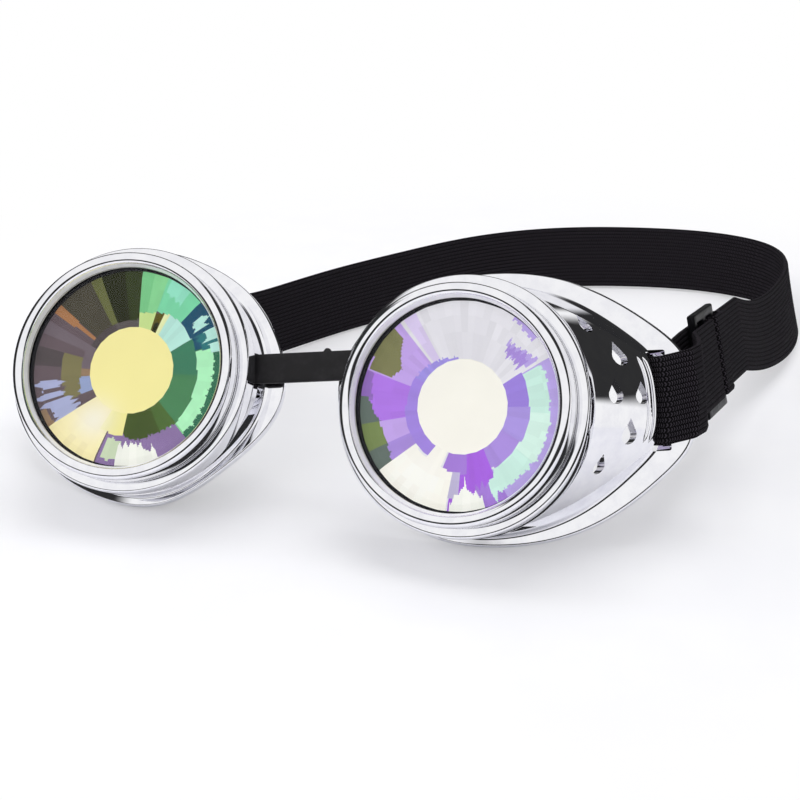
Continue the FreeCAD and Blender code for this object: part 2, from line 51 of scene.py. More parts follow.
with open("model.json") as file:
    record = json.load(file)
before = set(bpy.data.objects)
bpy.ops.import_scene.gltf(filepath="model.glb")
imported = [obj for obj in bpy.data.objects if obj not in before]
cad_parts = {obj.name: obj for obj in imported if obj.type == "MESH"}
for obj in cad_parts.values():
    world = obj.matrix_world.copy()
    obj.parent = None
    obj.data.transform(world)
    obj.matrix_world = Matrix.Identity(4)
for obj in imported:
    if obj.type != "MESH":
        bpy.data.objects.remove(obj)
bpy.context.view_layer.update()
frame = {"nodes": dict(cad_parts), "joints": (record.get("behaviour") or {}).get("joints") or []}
MM = 0.001

# How each eyepiece lies, in degrees: lean back, turn to the nose, roll; and which way its temple points
EYES = {"left": (31.1, 3.8, 18.4, -1), "right": (24.2, 7.0, 14.0, 1)}

# Ring, lens and collar
LENS_RADIUS = 25.0
LENS_FRONT = 2.9
LENS_BACK = 5.5
FACETS = 24
TABLE_RADIUS, TABLE_DEPTH = 10.7, 10.3
BREAK_RADIUS, BREAK_DEPTH = 14.5, 8.4
FACET_RADIUS = 22.3
APERTURE, APERTURE_FRONT, RING_RADIUS = 24.1, 25.0, 27.5
RING_LIP, GRIP_LENGTH, SKIRT_BACK = 2.4, 5.6, 9.8
SKIRT_BORE, SKIRT_RADIUS = 25.3, 26.7
GROOVE_FRONT, GROOVE_BACK, GROOVE_DEPTH = 4.6, 5.1, 0.45
RING_TRIMS, RING_STEPS = (0.95, 1.35, 0.15, 0.1, 0.1, 0.15, 0.15, 0.1, 0.3, 0.2, 0.1, 0.25), 7
THREAD_PITCH, THREAD_DEPTH, THREAD_RUNOUT = 1.5, 0.28, 0.6
THREAD_FRONT, THREAD_BACK, THREAD_ROWS = GRIP_LENGTH + 0.15, SKIRT_BACK - 0.35, 40
COLLAR_BORE, COLLAR_RADIUS, COLLAR_FRONT, COLLAR_BACK = 27.0, 30.0, 5.9, 12.2
COLLAR_MOUTH_TRIM, SEAT_TRIM, COLLAR_STEPS = 0.3, 0.2, 6
FLOOR_FRONT, SEAT_FRONT, SEAT_BORE = 10.4, 6.6, 22.6
TURNED_COLUMNS = 240

# Wall and rim of the cup
NECK_RADIUS, CUP_WALL = 29.1, 1.8
RIM_LIP, RIM_THICKNESS = 2.2, 2.6
WALL_FILLET, LIP_ROUNDING, INNER_ROUNDING = 0.9, 0.75, 0.5
WALL_ROWS, LIP_STEPS, INNER_STEPS, CUP_SHARP_ANGLE = 48, 6, 5, 34.0
NOSE_DEPTH, TEMPLE_DEPTH = 19.5, 43.0
NOSE_REACH, TEMPLE_REACH = -34.8, 46.2
FACE_RADIUS, FACE_X, FACE_Y = 160.0, -37.305, 179.48
RIM_OUTLINE = np.array([
    (46.2, 0.0), (45.0, 10.0), (38.3, 18.2), (22.0, 28.8), (0.0, 32.2), (-20.0, 27.0), (-34.8, 8.0),
    (-28.8, -12.0), (-17.0, -27.0), (2.0, -32.2), (24.0, -28.2), (38.3, -18.2), (45.0, -10.0)])
WALL_START = np.array((28.2, 12.2, 0.0))
WALL_ALONG = np.array((0.4429, 0.8966, 0.0))
WALL_OUT = np.array((0.8966, -0.4429, 0.0))
# Vents: distance along the temple wall, height and radius; how far their point reaches, and their widening
VENTS = [
    (6.5, 17.0, 1.5), (13.0, 9.5, 1.9), (9.0, 0.5, 1.9),
    (18.5, 0.5, 1.7), (14.0, -8.5, 1.9), (6.5, -15.5, 1.4)]
VENT_POINT, VENT_STRETCH, VENT_SAMPLES, VENT_REACH = 2.1, 1.35, 29, 9.0
SLOT_AT, SLOT_WIDTH, SLOT_HEIGHT, SLOT_CORNER, SLOT_REACH = 25.64, 4.2, 23.8, 0.6, 12.0
RIBS, RIB_WIDTH, RIB_HEIGHT, RIB_BOW, RIB_HALF_LENGTH = (20.8, 22.8), 0.6, 0.5, 1.2, 10.0
RIB_TAPER, RIB_SINK, RIB_ROWS, RIB_COLUMNS = 1.2, 0.25, 61, 9
# Rough length and reach of the temple wall, with which a rib's place on it is found in steps
WALL_LENGTH, WALL_REACH, PLACING_STEPS = 34.0, 40.0, 12
SQUARE = np.array([(-1, -1), (1, -1), (1, 1), (-1, 1)])

# Webbing and slider, measured from the strap slot along the strap's pull on each side
UP = np.array((0.0, 0.0, 1.0))
SLOT_CENTRE = WALL_START + SLOT_AT * WALL_ALONG
PULLS = {"left": (-0.35, 0.90, 0.27), "right": (0.10, 0.96, 0.30)}
STRAP_WIDTH, STRAP_THICKNESS = 21.0, 1.5
SOFT_GAP, BAR_BOW, LOOP_LIFT = 0.3, 1.2, 0.9
LEFT_LOOP_LENGTH, LEFT_SEAM_LENGTH = 18.0, 6.0
SLIDER_AT, SLIDER_BAR, SLIDER_OPENING = 33.0, 2.6, 5.2
SLIDER_STATIONS = (
    SLIDER_AT + SLIDER_BAR * np.array((0, 1, 1, 2, 2, 3)) + SLIDER_OPENING * np.array((0, 0, 1, 1, 2, 2)))
SLIDER_THICKNESS, SLIDER_SIDE, SLIDER_MOUTH = 2.0, 2.6, 22.0
SLIDER_HALF, SLIDER_EASE = SLIDER_THICKNESS / 2 + SOFT_GAP, 0.55
SEAM = SLIDER_STATIONS[5] + 2 * SLIDER_BAR
RUN_END = SEAM + STRAP_THICKNESS / 2 + 20.0

# Free part of the strap: X and Y from the middle of the ring centres, height of its middle, and how far its
# top leans away from the head, in degrees
STRAP_ROUTE = np.array([
    (-60.0, 81.4, 17.6, 0.0), (-52.5, 99.4, 13.4, 3.0), (-46.0, 119.4, 11.3, 7.0),
    (-36.5, 141.4, 10.8, 10.0), (-21.5, 166.4, 10.8, 12.0), (-1.0, 194.4, 10.8, 14.0),
    (24.0, 212.4, 10.8, 15.0), (50.0, 220.4, 10.8, 15.0), (75.0, 221.4, 10.8, 12.0),
    (93.0, 212.9, 11.0, 2.0), (102.5, 194.4, 11.3, -10.0), (104.0, 172.4, 12.0, -19.0),
    (101.0, 144.4, 14.5, -22.0)])
# How far the strap hangs below a straight line between its last station and the slider
STRAP_SAG = 1.2
# How far the free strap reaches into the sewn end of the left loop
SEWN_OVERLAP = 0.8
# Ribs of the webbing, its rounded edges, and the length of one knitted loop
RIB_COUNT, WEB_RIB_DEPTH, WEB_EDGE, WEB_EDGE_SHARE, KNIT_LOOP = 17, 0.17, 0.35, 0.8, 0.62
RIBBED_WIDTH = STRAP_WIDTH - 2 * WEB_EDGE
WEB_STEP, WEB_SHARP_ANGLE, STRAP_ROWS, RUN_ROWS = 0.35, 60.0, 330, 90
# Rounding of the loops and of the fold; over how far a loop turns square, and how its edges bow at the cup
LOOP_TRIM, FOLD_TRIM, TRIM_STEPS = 0.7, 0.8, 6
LOOP_TURN, LOOP_BOW, LOOP_BOW_END, STAYS_UPRIGHT = 14.0, 2.2, 12.0, 99.0
LOOP_BLEND_START, RUN_BLEND_START = 10.0, SEAM + 1.0

# Nose bridge: where it passes a cup's nose wall, and its sizes
BRIDGE_TURN, BRIDGE_DEPTH = 154.0, 14.3
BRIDGE_WIDTH, BRIDGE_THICKNESS, BRIDGE_BAR_WIDTH, BRIDGE_BAR_LENGTH = 7.2, 1.6, 2.2, 11.5
BRIDGE_TUCK, BRIDGE_CUT_REACH, BRIDGE_CUT_CORNER = 5.4, 24.0, 0.5
BRIDGE_ROWS, BRIDGE_COLUMNS, BAR_EASE, END_EASE = 241, 40, 0.35, 0.5
BRIDGE_TALL_POWER, BRIDGE_DEEP_POWER = 0.22, 0.35
NUB_AT, NUB_HEIGHT, NUB_WIDTH = 4.6, 0.75, 0.75


def turn_matrix(axis, degrees):
    """Matrix of a right-hand turn about one of the frame's axes."""
    return np.array(Matrix.Rotation(math.radians(degrees), 3, axis))


def joint_named(name):
    """One of the frame's joints."""
    return next(joint for joint in frame["joints"] if joint["name"] == name)


def eye_frame(side):
    """Ring centre in mm, and the matrix from an eyepiece's frame to the object's, mirrored on the left."""
    lean, toe, roll, sign = EYES[side]
    turn = turn_matrix("Z", -sign * toe) @ turn_matrix("X", -lean) @ turn_matrix("Y", -sign * roll)
    return np.array(joint_named(side + "_ring_turn")["pos_m"]) / MM, turn @ np.diag((sign, 1.0, 1.0))


def ring_middle():
    """Middle between the two ring centres."""
    return (eye_frame("left")[0] + eye_frame("right")[0]) / 2


def to_object(points, side):
    """Points of an eyepiece's own frame, placed in the whole object's frame."""
    centre, matrix = eye_frame(side)
    return points @ matrix.T + centre


def directed(vectors, side):
    """Directions of an eyepiece's own frame in the whole object's frame."""
    return vectors @ eye_frame(side)[1].T


def unit(vectors):
    """Vectors of length one with the same directions."""
    return vectors / np.linalg.norm(vectors, axis=-1, keepdims=True)


def full_turn(count):
    """Evenly spaced angles of one full turn."""
    return np.linspace(0, 2 * math.pi, count, endpoint=False)


def lengths_along(path):
    """Length from a path's first point to each of its points."""
    return np.concatenate([[0], np.cumsum(np.linalg.norm(np.diff(path, axis=0), axis=1))])


def grid_faces(rows, columns, wrap_rows=False, wrap_columns=True):
    """Quads between neighbours of a grid that is numbered row by row, joined round where it wraps."""
    row = np.arange(rows if wrap_rows else rows - 1)[:, None]
    column = np.arange(columns if wrap_columns else columns - 1)[None, :]
    after_row = (row + 1) % rows
    after_column = (column + 1) % columns
    quads = np.stack(np.broadcast_arrays(
        row * columns + column, row * columns + after_column,
        after_row * columns + after_column, after_row * columns + column), axis=-1)
    return quads.reshape(-1, 4).tolist()


def tube_faces(rows, columns):
    """Quads of a grid whose columns go round, with a cap on its first and on its last row."""
    last = (rows - 1) * columns
    return grid_faces(rows, columns) + [list(range(columns)), list(range(last, last + columns))]


def linked(name, data):
    """New object in the scene, for a mesh, a lamp or the camera."""
    piece = bpy.data.objects.new(name, data)
    bpy.context.scene.collection.objects.link(piece)
    return piece


def mesh_object(name, points, faces, smooth_angle=40.0, uv=None):
    """Object from points in mm and faces, with outward normals and edges kept sharp above an angle."""
    mesh = bpy.data.meshes.new(name)
    mesh.from_pydata((np.asarray(points).reshape(-1, 3) * MM).tolist(), [], faces)
    if uv is not None:
        layer = mesh.uv_layers.new(name="UVMap")
        corner = np.zeros(len(mesh.loops), dtype=np.int32)
        mesh.loops.foreach_get("vertex_index", corner)
        layer.data.foreach_set("uv", np.asarray(uv, dtype=np.float32).reshape(-1, 2)[corner].ravel())
    shell = bmesh.new()
    shell.from_mesh(mesh)
    bmesh.ops.recalc_face_normals(shell, faces=shell.faces)
    shell.to_mesh(mesh)
    shell.free()
    mesh.shade_smooth()
    mesh.set_sharp_from_angle(angle=math.radians(smooth_angle))
    return linked(name, mesh)


def joined(name, pieces):
    """One object with the meshes of several, shading and maps kept."""
    body = bmesh.new()
    for piece in pieces:
        body.from_mesh(piece.data)
        bpy.data.objects.remove(piece)
    mesh = bpy.data.meshes.new(name)
    body.to_mesh(mesh)
    body.free()
    return linked(name, mesh)


def finish_piece(piece, material, body, slot, *nodes):
    """Give a piece its material, its body and the nodes that it stands for; the slot is not used."""
    piece.data.materials.clear()
    piece.data.materials.append(material)
    if body:
        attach(piece, body)
    if nodes:
        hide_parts(*nodes)
    return piece


def eased(before, corner, after, trim, steps):
    """Points of the parabola that touches both sides of each corner a trim away from it, step by step."""
    start = corner + unit(before - corner) * trim
    end = corner + unit(after - corner) * trim
    share = np.linspace(0, 1, steps)[:, None, None]
    return (1 - share)**2 * start + 2 * share * (1 - share) * corner + share**2 * end


def rounded(corners, trims, steps=5):
    """Closed path through corners, each replaced by a parabola."""
    corners = np.asarray(corners, dtype=float)
    trims = np.broadcast_to(np.asarray(trims, dtype=float), corners.shape[:1])[:, None]
    path = eased(np.roll(corners, 1, axis=0), corners, np.roll(corners, -1, axis=0), trims, steps)
    return path.swapaxes(0, 1).reshape(-1, corners.shape[1])


def refined(path, step):
    """The same closed path with points about a step apart, spread evenly by length."""
    path = np.concatenate([path, path[:1]])
    lengths = lengths_along(path)
    at = np.linspace(0, lengths[-1], int(lengths[-1] / step), endpoint=False)
    return np.stack([np.interp(at, lengths, path[:, axis]) for axis in range(path.shape[1])], axis=1)


def spun(profile, turns):
    """Surface of revolution: each (radius, depth) of the profile carried round the eyepiece's axis."""
    radius = profile[:, 0][:, None]
    depth = np.broadcast_to(profile[:, 1][:, None], (len(profile), len(turns)))
    return np.stack([radius * np.cos(turns), depth, radius * np.sin(turns)], axis=-1)


def spline(knots, values, period=None):
    """Cubic through values at knots with a steady second derivative, closed where a period is given."""
    knots = np.asarray(knots, dtype=float)
    values = np.asarray(values, dtype=float)
    if period:
        knots = np.append(knots, knots[0] + period)
        values = np.concatenate([values, values[:1]])
    gap = np.diff(knots)
    slope = np.diff(values, axis=0) / gap[:, None]
    count = len(knots)
    matrix = np.eye(count)
    right = np.zeros_like(values)
    inner = np.arange(1, count - 1)
    matrix[inner, inner - 1] = gap[:-1]
    matrix[inner, inner] = 2 * (gap[:-1] + gap[1:])
    matrix[inner, inner + 1] = gap[1:]
    right[inner] = 6 * np.diff(slope, axis=0)
    if period:
        matrix[0, :] = 0
        matrix[0, [0, 1, -2, -1]] = (2 * gap[0], gap[0], gap[-1], 2 * gap[-1])
        right[0] = 6 * (slope[0] - slope[-1])
        matrix[-1, :] = 0
        matrix[-1, [0, -1]] = (1, -1)
    bend = np.linalg.solve(matrix, right)

    def at(where):
        where = np.asarray(where, dtype=float)
        if period:
            where = knots[0] + (where - knots[0]) % period
        piece = np.clip(np.searchsorted(knots, where, side="right") - 1, 0, count - 2)
        along = (where - knots[piece])[..., None]
        width = gap[piece][..., None]
        left = width - along
        return (
            bend[piece] * left**3 / (6 * width) + bend[piece + 1] * along**3 / (6 * width)
            + (values[piece] / width - bend[piece] * width / 6) * left
            + (values[piece + 1] / width - bend[piece + 1] * width / 6) * along)

    return at


class Value:
    """A socket whose operators add nodes to its tree."""

    def __init__(self, tree, socket):
        self.tree = tree
        self.socket = socket

    def node(self, kind, settings=None, output=0, **inputs):
        """Any other node: its type and settings, then values or links for its sockets, by name or _number."""
        made = self.tree.nodes.new(kind)
        for name, value in (settings or {}).items():
            setattr(made, name, value)
        for name, value in inputs.items():
            put(made, int(name[1:]) if name[0] == "_" else name.replace("_", " "), value)
        return Value(self.tree, made.outputs[output])

    def sibling(self, output):
        """Another output of the node that this value comes from."""
        return Value(self.tree, self.socket.node.outputs[output])

    def math(self, operation, other=0.0, swap=False):
        """Math node with this value first, or second where they are swapped."""
        first, second = (other, self) if swap else (self, other)
        return self.node("ShaderNodeMath", {"operation": operation}, _0=first, _1=second)

    def __add__(self, other):
        return self.math("ADD", other)

    def __radd__(self, other):
        return self.math("ADD", other, True)

    def __sub__(self, other):
        return self.math("SUBTRACT", other)

    def __rsub__(self, other):
        return self.math("SUBTRACT", other, True)

    def __mul__(self, other):
        return self.math("MULTIPLY", other)

    def __rmul__(self, other):
        return self.math("MULTIPLY", other, True)

    def between(self, low, high):
        """0 at low, 1 at high, smooth between them; high may be the smaller number."""
        return self.node(
            "ShaderNodeMapRange", {"interpolation_type": "SMOOTHSTEP"},
            Value=self, From_Min=low, From_Max=high)

    def mix(self, first, second):
        """Colour mix with this value as the factor."""
        return self.node("ShaderNodeMix", {"data_type": "RGBA"}, 2, _0=self, _6=first, _7=second)

    def bump(self, strength, distance):
        """Normal of a surface that this value raises."""
        return self.node("ShaderNodeBump", Height=self, Strength=strength, Distance=distance)


def new_material(name):
    """Node material with one shader on its output: the material, its first value and the shader."""
    material = bpy.data.materials.new(name)
    material.use_nodes = True
    tree = material.node_tree
    tree.nodes.clear()
    output = tree.nodes.new("ShaderNodeOutputMaterial")
    shader = tree.nodes.new("ShaderNodeBsdfPrincipled")
    tree.links.new(shader.outputs[0], output.inputs["Surface"])
    return material, Value(tree, None), shader


def show_mix(start, factor, first, second):
    """Put a mix of two shaders on the material's output."""
    mixed = start.node("ShaderNodeMixShader", _0=factor, _1=first, _2=second)
    output = next(node for node in start.tree.nodes if node.type == "OUTPUT_MATERIAL")
    put(output, "Surface", mixed)


def noise(start, scale, detail, rough=0.5):
    """Noise over a piece's own coordinates, with so many waves to the metre."""
    place = start.node("ShaderNodeTexCoord", output="Object")
    return start.node("ShaderNodeTexNoise", Vector=place, Scale=scale, Detail=detail, Roughness=rough)


def put(node, name, value):
    """Set one socket of a node to a number or colour, or link a value to it."""
    if isinstance(value, Value):
        value.tree.links.new(value.socket, node.inputs[name])
    else:
        node.inputs[name].default_value = value


def shade(red, green, blue):
    """Colour as it looks on a screen, from 0 to 255, as the linear colour that a shader takes."""
    channel = np.array((red, green, blue)) / 255
    return (*np.where(channel <= 0.04045, channel / 12.92, ((channel + 0.055) / 1.055)**2.4), 1.0)


def chrome_material():
    """Bright plating on moulded plastic: faint waves in the surface and faint handling marks in the gloss."""
    material, start, shader = new_material("chrome_plating")
    waves = noise(start, 70.0, 1.0)
    marks = noise(start, 260.0, 4.0, 0.6)
    bore = start.node("ShaderNodeAttribute", {"attribute_name": "bore"}, "Fac")
    put(shader, "Base Color", marks.between(0.35, 0.7).mix(shade(242, 242, 245), shade(234, 234, 239)))
    put(shader, "Metallic", 1.0 - 0.8 * bore)
    put(shader, "Roughness", 0.02 + 0.04 * marks.between(0.5, 0.8) + 0.3 * bore)
    put(shader, "Normal", waves.bump(0.05, 0.0004))
    return material


def rubber_material(name, colour, rough):
    """Soft black moulding with a fine grain and paler scuffs."""
    material, start, shader = new_material(name)
    grain = noise(start, 2600.0, 3.0)
    cloud = noise(start, 140.0, 5.0, 0.65)
    paler = tuple(min(1.0, channel * 1.9 + 0.006) for channel in colour[:3]) + (1.0,)
    put(shader, "Base Color", cloud.between(0.4, 0.75).mix(colour, paler))
    put(shader, "Roughness", rough + 0.18 * cloud.between(0.3, 0.8))
    put(shader, "Specular IOR Level", 0.25)
    put(shader, "Normal", grain.bump(0.25, 0.0001))
    return material


def gloss_plastic_material():
    """Moulded black plastic with a bright gloss and hair-fine scratches."""
    material, start, shader = new_material("slider_gloss")
    scratch = noise(start, 900.0, 6.0, 0.7)
    cloud = noise(start, 110.0, 3.0)
    put(shader, "Base Color", cloud.between(0.35, 0.75).mix(shade(11, 11, 13), shade(25, 25, 28)))
    put(shader, "Roughness", 0.3 + 0.16 * scratch.between(0.5, 0.75))
    put(shader, "Specular IOR Level", 0.08)
    put(shader, "Normal", scratch.bump(0.08, 0.0001))
    return material


def webbing_material():
    """Knitted black elastic: loops along each rib, half a loop apart on every other rib, and lint; the loops'
    raised tops are painted paler as a highlight over the yarn's own near black.
    """
    material, start, shader = new_material("ribbed_elastic")
    place = start.node("ShaderNodeUVMap", {"uv_map": "UVMap"})
    along = start.node("ShaderNodeSeparateXYZ", Vector=place)
    across = along.sibling(1)
    shift = across.math("FLOOR").math("MODULO", 2.0) * 0.5
    loop = (along + shift).math("FRACT")
    lean = (across.math("FRACT") - 0.5).math("ABSOLUTE")
    slant = (loop + lean * 0.9).math("FRACT")
    ridge = slant.between(0.05, 0.45) * (1.0 - slant.between(0.55, 0.95))
    valley = lean.between(0.34, 0.5)
    flat = {"noise_dimensions": "2D"}
    yarn = start.node("ShaderNodeTexNoise", flat, Vector=place, Scale=3.1, Detail=3.0)
    lint = start.node("ShaderNodeTexNoise", flat, Vector=place, Scale=0.19, Detail=5.0, Roughness=0.7)
    height = ridge * (1.0 - valley) * (0.7 + 0.6 * yarn)
    # Painted highlight: the yarn's own near black in the hollows, painted paler on the raised tops of the
    # loops
    tone = height.between(0.25, 0.95).mix(shade(7, 6, 8), shade(58, 54, 60))
    put(shader, "Base Color", (lint.between(0.52, 0.78) * 0.12).mix(tone, shade(46, 44, 47)))
    put(shader, "Roughness", 0.82 + 0.12 * yarn)
    put(shader, "Specular IOR Level", 0.1)
    put(shader, "Normal", height.bump(0.9, 0.0003))
    return material


def crystal_material():
    """Coated facets: the coating's own colours under a gloss, with a painted glow: the facets give off their
    colours by emission, standing in for light that comes through the glass from behind.
    """
    material, start, shader = new_material("coated_crystal_with_painted_glow")
    tint = start.node("ShaderNodeAttribute", {"attribute_name": "coating_and_painted_light"})
    cloud = noise(start, 120.0, 2.0)
    put(shader, "Base Color", (0.5 + 0.06 * cloud).mix(tint, (0.0, 0.0, 0.0, 1.0)))
    put(shader, "Roughness", 0.3 + 0.1 * cloud)
    put(shader, "Specular IOR Level", 0.05)
    # Painted light: the facets glow with the coating's colours, as if lit through the glass from behind
    put(shader, "Emission Color", tint)
    put(shader, "Emission Strength", 0.5)
    return material


def pane_material():
    """Clear polished front of the lens: see-through, with a reflection that grows at a slant."""
    material, start, shader = new_material("clear_crystal_front")
    smudge = noise(start, 90.0, 4.0)
    put(shader, "Base Color", shade(250, 250, 252))
    put(shader, "Metallic", 1.0)
    put(shader, "Roughness", 0.01 + 0.03 * smudge.between(0.45, 0.8))
    slant = start.node("ShaderNodeFresnel", IOR=1.4) * 0.3
    show_mix(start, slant, start.node("ShaderNodeBsdfTransparent"), Value(start.tree, shader.outputs[0]))
    return material


def washer_material():
    """Thin pale nylon with a faint cloud."""
    material, start, shader = new_material("nylon_washer")
    cloud = noise(start, 500.0, 3.0)
    put(shader, "Base Color", cloud.between(0.3, 0.7).mix(shade(222, 221, 216), shade(205, 204, 200)))
    put(shader, "Roughness", 0.4 + 0.2 * cloud)
    return material


OUTLINE_TURNS = np.arctan2(RIM_OUTLINE[:, 1], RIM_OUTLINE[:, 0]) % (2 * math.pi)
outline_at = spline(OUTLINE_TURNS, RIM_OUTLINE, 2 * math.pi)
outward_at = spline(OUTLINE_TURNS, unit(RIM_OUTLINE), 2 * math.pi)


def wall_point(turn, share):
    """Ruled wall: at each turn a line from the round neck, share 0, to the rim's outline, share 1."""
    rim = outline_at(turn) - RIM_LIP * outward_at(turn)
    slope = (TEMPLE_DEPTH - NOSE_DEPTH) / (TEMPLE_REACH - NOSE_REACH)
    depth = NOSE_DEPTH + slope * (rim[..., 0] - NOSE_REACH) + RIM_THICKNESS
    neck = NECK_RADIUS * np.stack([np.cos(turn), np.sin(turn)])
    start = np.stack([neck[0], np.full_like(turn, COLLAR_BACK), neck[1]], -1)
    end = np.stack([rim[..., 0], depth, rim[..., 1]], -1)
    share = np.asarray(share)[..., None]
    return (1 - share) * start + share * end


def wall_normal(turn, share, small=1e-4):
    """Outward normal of the wall, from the cross product of its two slopes over a small step."""
    round_step = wall_point(turn + small, share) - wall_point(turn - small, share)
    back_step = wall_point(turn, share + small) - wall_point(turn, share - small)
    return unit(np.cross(back_step, round_step))


def share_at(turn, radius):
    """Share at which the wall's line meets the upright cylinder of a radius, from the quadratic equation."""
    first = wall_point(turn, np.zeros_like(turn))[..., :2] - (FACE_X, FACE_Y)
    step = wall_point(turn, np.ones_like(turn))[..., :2] - (FACE_X, FACE_Y) - first
    a = (step**2).sum(-1)
    b = 2 * (first * step).sum(-1)
    c = (first**2).sum(-1) - radius**2
    return (-b - np.sqrt(b**2 - 4 * a * c)) / (2 * a)


def rim_point(turn, lift):
    """Point of the rim's outline at a height over the face cylinder."""
    flat = outline_at(turn)
    depth = FACE_Y - np.sqrt((FACE_RADIUS + lift)**2 - (flat[..., 0] - FACE_X)**2)
    return np.stack([flat[..., 0], depth, flat[..., 1]], -1)


def cup_rings(columns):
    """Closed section of wall and lip, ring by ring: over the wall, round the lip and back inside the wall."""
    turn = full_turn(columns)
    at_front = share_at(turn, FACE_RADIUS + RIM_THICKNESS)
    at_back = share_at(turn, FACE_RADIUS)
    inner_edge = wall_point(turn, at_back) - CUP_WALL * wall_normal(turn, at_back)
    foot = wall_point(turn, at_front)
    neck = wall_point(turn, np.zeros_like(turn))
    length = np.linalg.norm(foot - neck, axis=-1)
    shares = np.linspace(0, 1, WALL_ROWS)[:, None] * (at_front * (1 - WALL_FILLET / length))
    turns = np.broadcast_to(turn, shares.shape)
    outer = wall_point(turns, shares)
    inner = outer - CUP_WALL * wall_normal(turns, shares)
    front_edge = rim_point(turn, RIM_THICKNESS)
    back_edge = rim_point(turn, 0)
    return np.concatenate([
        outer[:-1],
        eased(neck, foot, front_edge, WALL_FILLET, LIP_STEPS),
        eased(foot, front_edge, back_edge, LIP_ROUNDING, LIP_STEPS),
        eased(front_edge, back_edge, inner_edge, LIP_ROUNDING, LIP_STEPS),
        eased(back_edge, inner_edge, inner[-1], INNER_ROUNDING, INNER_STEPS),
        inner[::-1]])


def prism(base, near, far):
    """Points and faces of a closed prism, from a flat outline moved by near to the same moved by far."""
    return np.concatenate([base + near, base + far]), tube_faces(2, len(base))


def drop_prism(distance, height, radius):
    """Cutter of a vent: a circle with two tangents to a point above it, carried through the temple wall."""
    side = math.acos(1 / VENT_POINT)
    bowl = np.linspace(math.pi / 2 - side, -1.5 * math.pi + side, VENT_SAMPLES)
    flat = np.stack([radius * np.cos(bowl), radius * np.sin(bowl)], axis=1)
    flat = np.concatenate([flat, [(0.0, radius * VENT_POINT)]])
    return wall_prism(flat * (VENT_STRETCH, 1.0) + (distance, height), VENT_REACH)


def wall_prism(flat, reach):
    """Prism on an outline of (distance along the temple wall, height), through the wall both ways."""
    base = WALL_START + flat[:, :1] * WALL_ALONG + flat[:, 1:] * UP
    return prism(base, -WALL_OUT * reach, WALL_OUT * reach)


def slot_prism():
    """Cutter of the strap slot, an upright rectangle with rounded corners."""
    corners = SQUARE * (SLOT_WIDTH / 2, SLOT_HEIGHT / 2) + (SLOT_AT, 0)
    return wall_prism(rounded(corners, SLOT_CORNER), SLOT_REACH)


def bridge_prism(side):
    """Cutter of the slot that the nose bridge goes through, in the whole object's frame."""
    middle, along, upward, across, _ = bridge_frame()
    half = BRIDGE_WIDTH / 2 + SOFT_GAP, BRIDGE_THICKNESS / 2 + SOFT_GAP
    flat = rounded(SQUARE * half, BRIDGE_CUT_CORNER)
    base = middle + flat[:, :1] * upward + flat[:, 1:] * across
    return prism(base, 0.0, along * EYES[side][3] * BRIDGE_CUT_REACH)


def rib_strip(distance):
    """Bowed rib: a half-round section carried up the temple wall, at the height of the wall plus its own.

    Its places on the wall are found in steps, each of which moves them by what they are still off."""
    height = np.linspace(-RIB_HALF_LENGTH, RIB_HALF_LENGTH, RIB_ROWS)[:, None]
    rise = np.linspace(0, math.pi, RIB_COLUMNS)
    along = distance - RIB_BOW * (height / RIB_HALF_LENGTH)**2
    taper = np.clip((RIB_HALF_LENGTH - np.abs(height)) / RIB_TAPER, 0.05, 1.0)**0.5
    target = along + RIB_WIDTH / 2 * np.cos(rise)
    raised = RIB_HEIGHT * np.sin(rise) * taper - RIB_SINK * (1 - np.sin(rise))
    tall = np.broadcast_to(height, target.shape)
    turn = np.arctan2(tall, WALL_REACH)
    share = target / WALL_LENGTH
    for _ in range(PLACING_STEPS):
        point = wall_point(turn, share)
        share = share + (target - (point - WALL_START) @ WALL_ALONG) / WALL_LENGTH
        turn = turn + (tall - point[..., 2]) / WALL_REACH
    return wall_point(turn, share) + raised[..., None] * wall_normal(turn, share)


def cut_opening(shell, cutter):
    """Cut one piece out of another for good, and remove the cutter."""
    step = shell.modifiers.new("opening", "BOOLEAN")
    step.operation = "DIFFERENCE"
    step.solver = "EXACT"
    step.object = cutter
    bpy.context.view_layer.update()
    opened = bpy.data.meshes.new_from_object(shell.evaluated_get(bpy.context.evaluated_depsgraph_get()))
    shell.modifiers.clear()
    shell.data = opened
    bpy.data.objects.remove(cutter)


def build_cup(side, sizes):
    """One cup: the collar's turned profile, the wall with its lip, the ribs, and the openings cut through."""
    wall = cup_rings(sizes.cup_columns)
    around = grid_faces(*wall.shape[:2], wrap_rows=True)
    shell = mesh_object(side + "_cup_wall", to_object(wall, side), around)
    cutters = [drop_prism(*vent) for vent in VENTS] + [slot_prism()]
    cutters = [(to_object(points, side), faces) for points, faces in cutters] + [bridge_prism(side)]
    for points, faces in cutters:
        cut_opening(shell, mesh_object("opening", points, faces))
    corners = [
        (COLLAR_BORE, COLLAR_FRONT), (COLLAR_RADIUS, COLLAR_FRONT), (COLLAR_RADIUS, COLLAR_BACK),
        (SEAT_BORE, COLLAR_BACK), (SEAT_BORE, SEAT_FRONT), (LENS_RADIUS, SEAT_FRONT),
        (LENS_RADIUS, FLOOR_FRONT), (COLLAR_BORE, FLOOR_FRONT)]
    trims = (COLLAR_MOUTH_TRIM,) + (sizes.collar_corner,) * 2 + (SEAT_TRIM,) * 5
    collar = spun(rounded(corners, trims, COLLAR_STEPS), full_turn(TURNED_COLUMNS))
    around = grid_faces(*collar.shape[:2], wrap_rows=True)
    pieces = [mesh_object("collar", to_object(collar, side), around)]
    for distance in RIBS:
        strip = rib_strip(distance)
        pieces.append(mesh_object("rib", to_object(strip, side), tube_faces(*strip.shape[:2])))
    cup = joined(side + "_chrome_cup", [shell, *pieces])
    cup.data.shade_smooth()
    cup.data.set_sharp_from_angle(angle=math.radians(CUP_SHARP_ANGLE))
    return cup


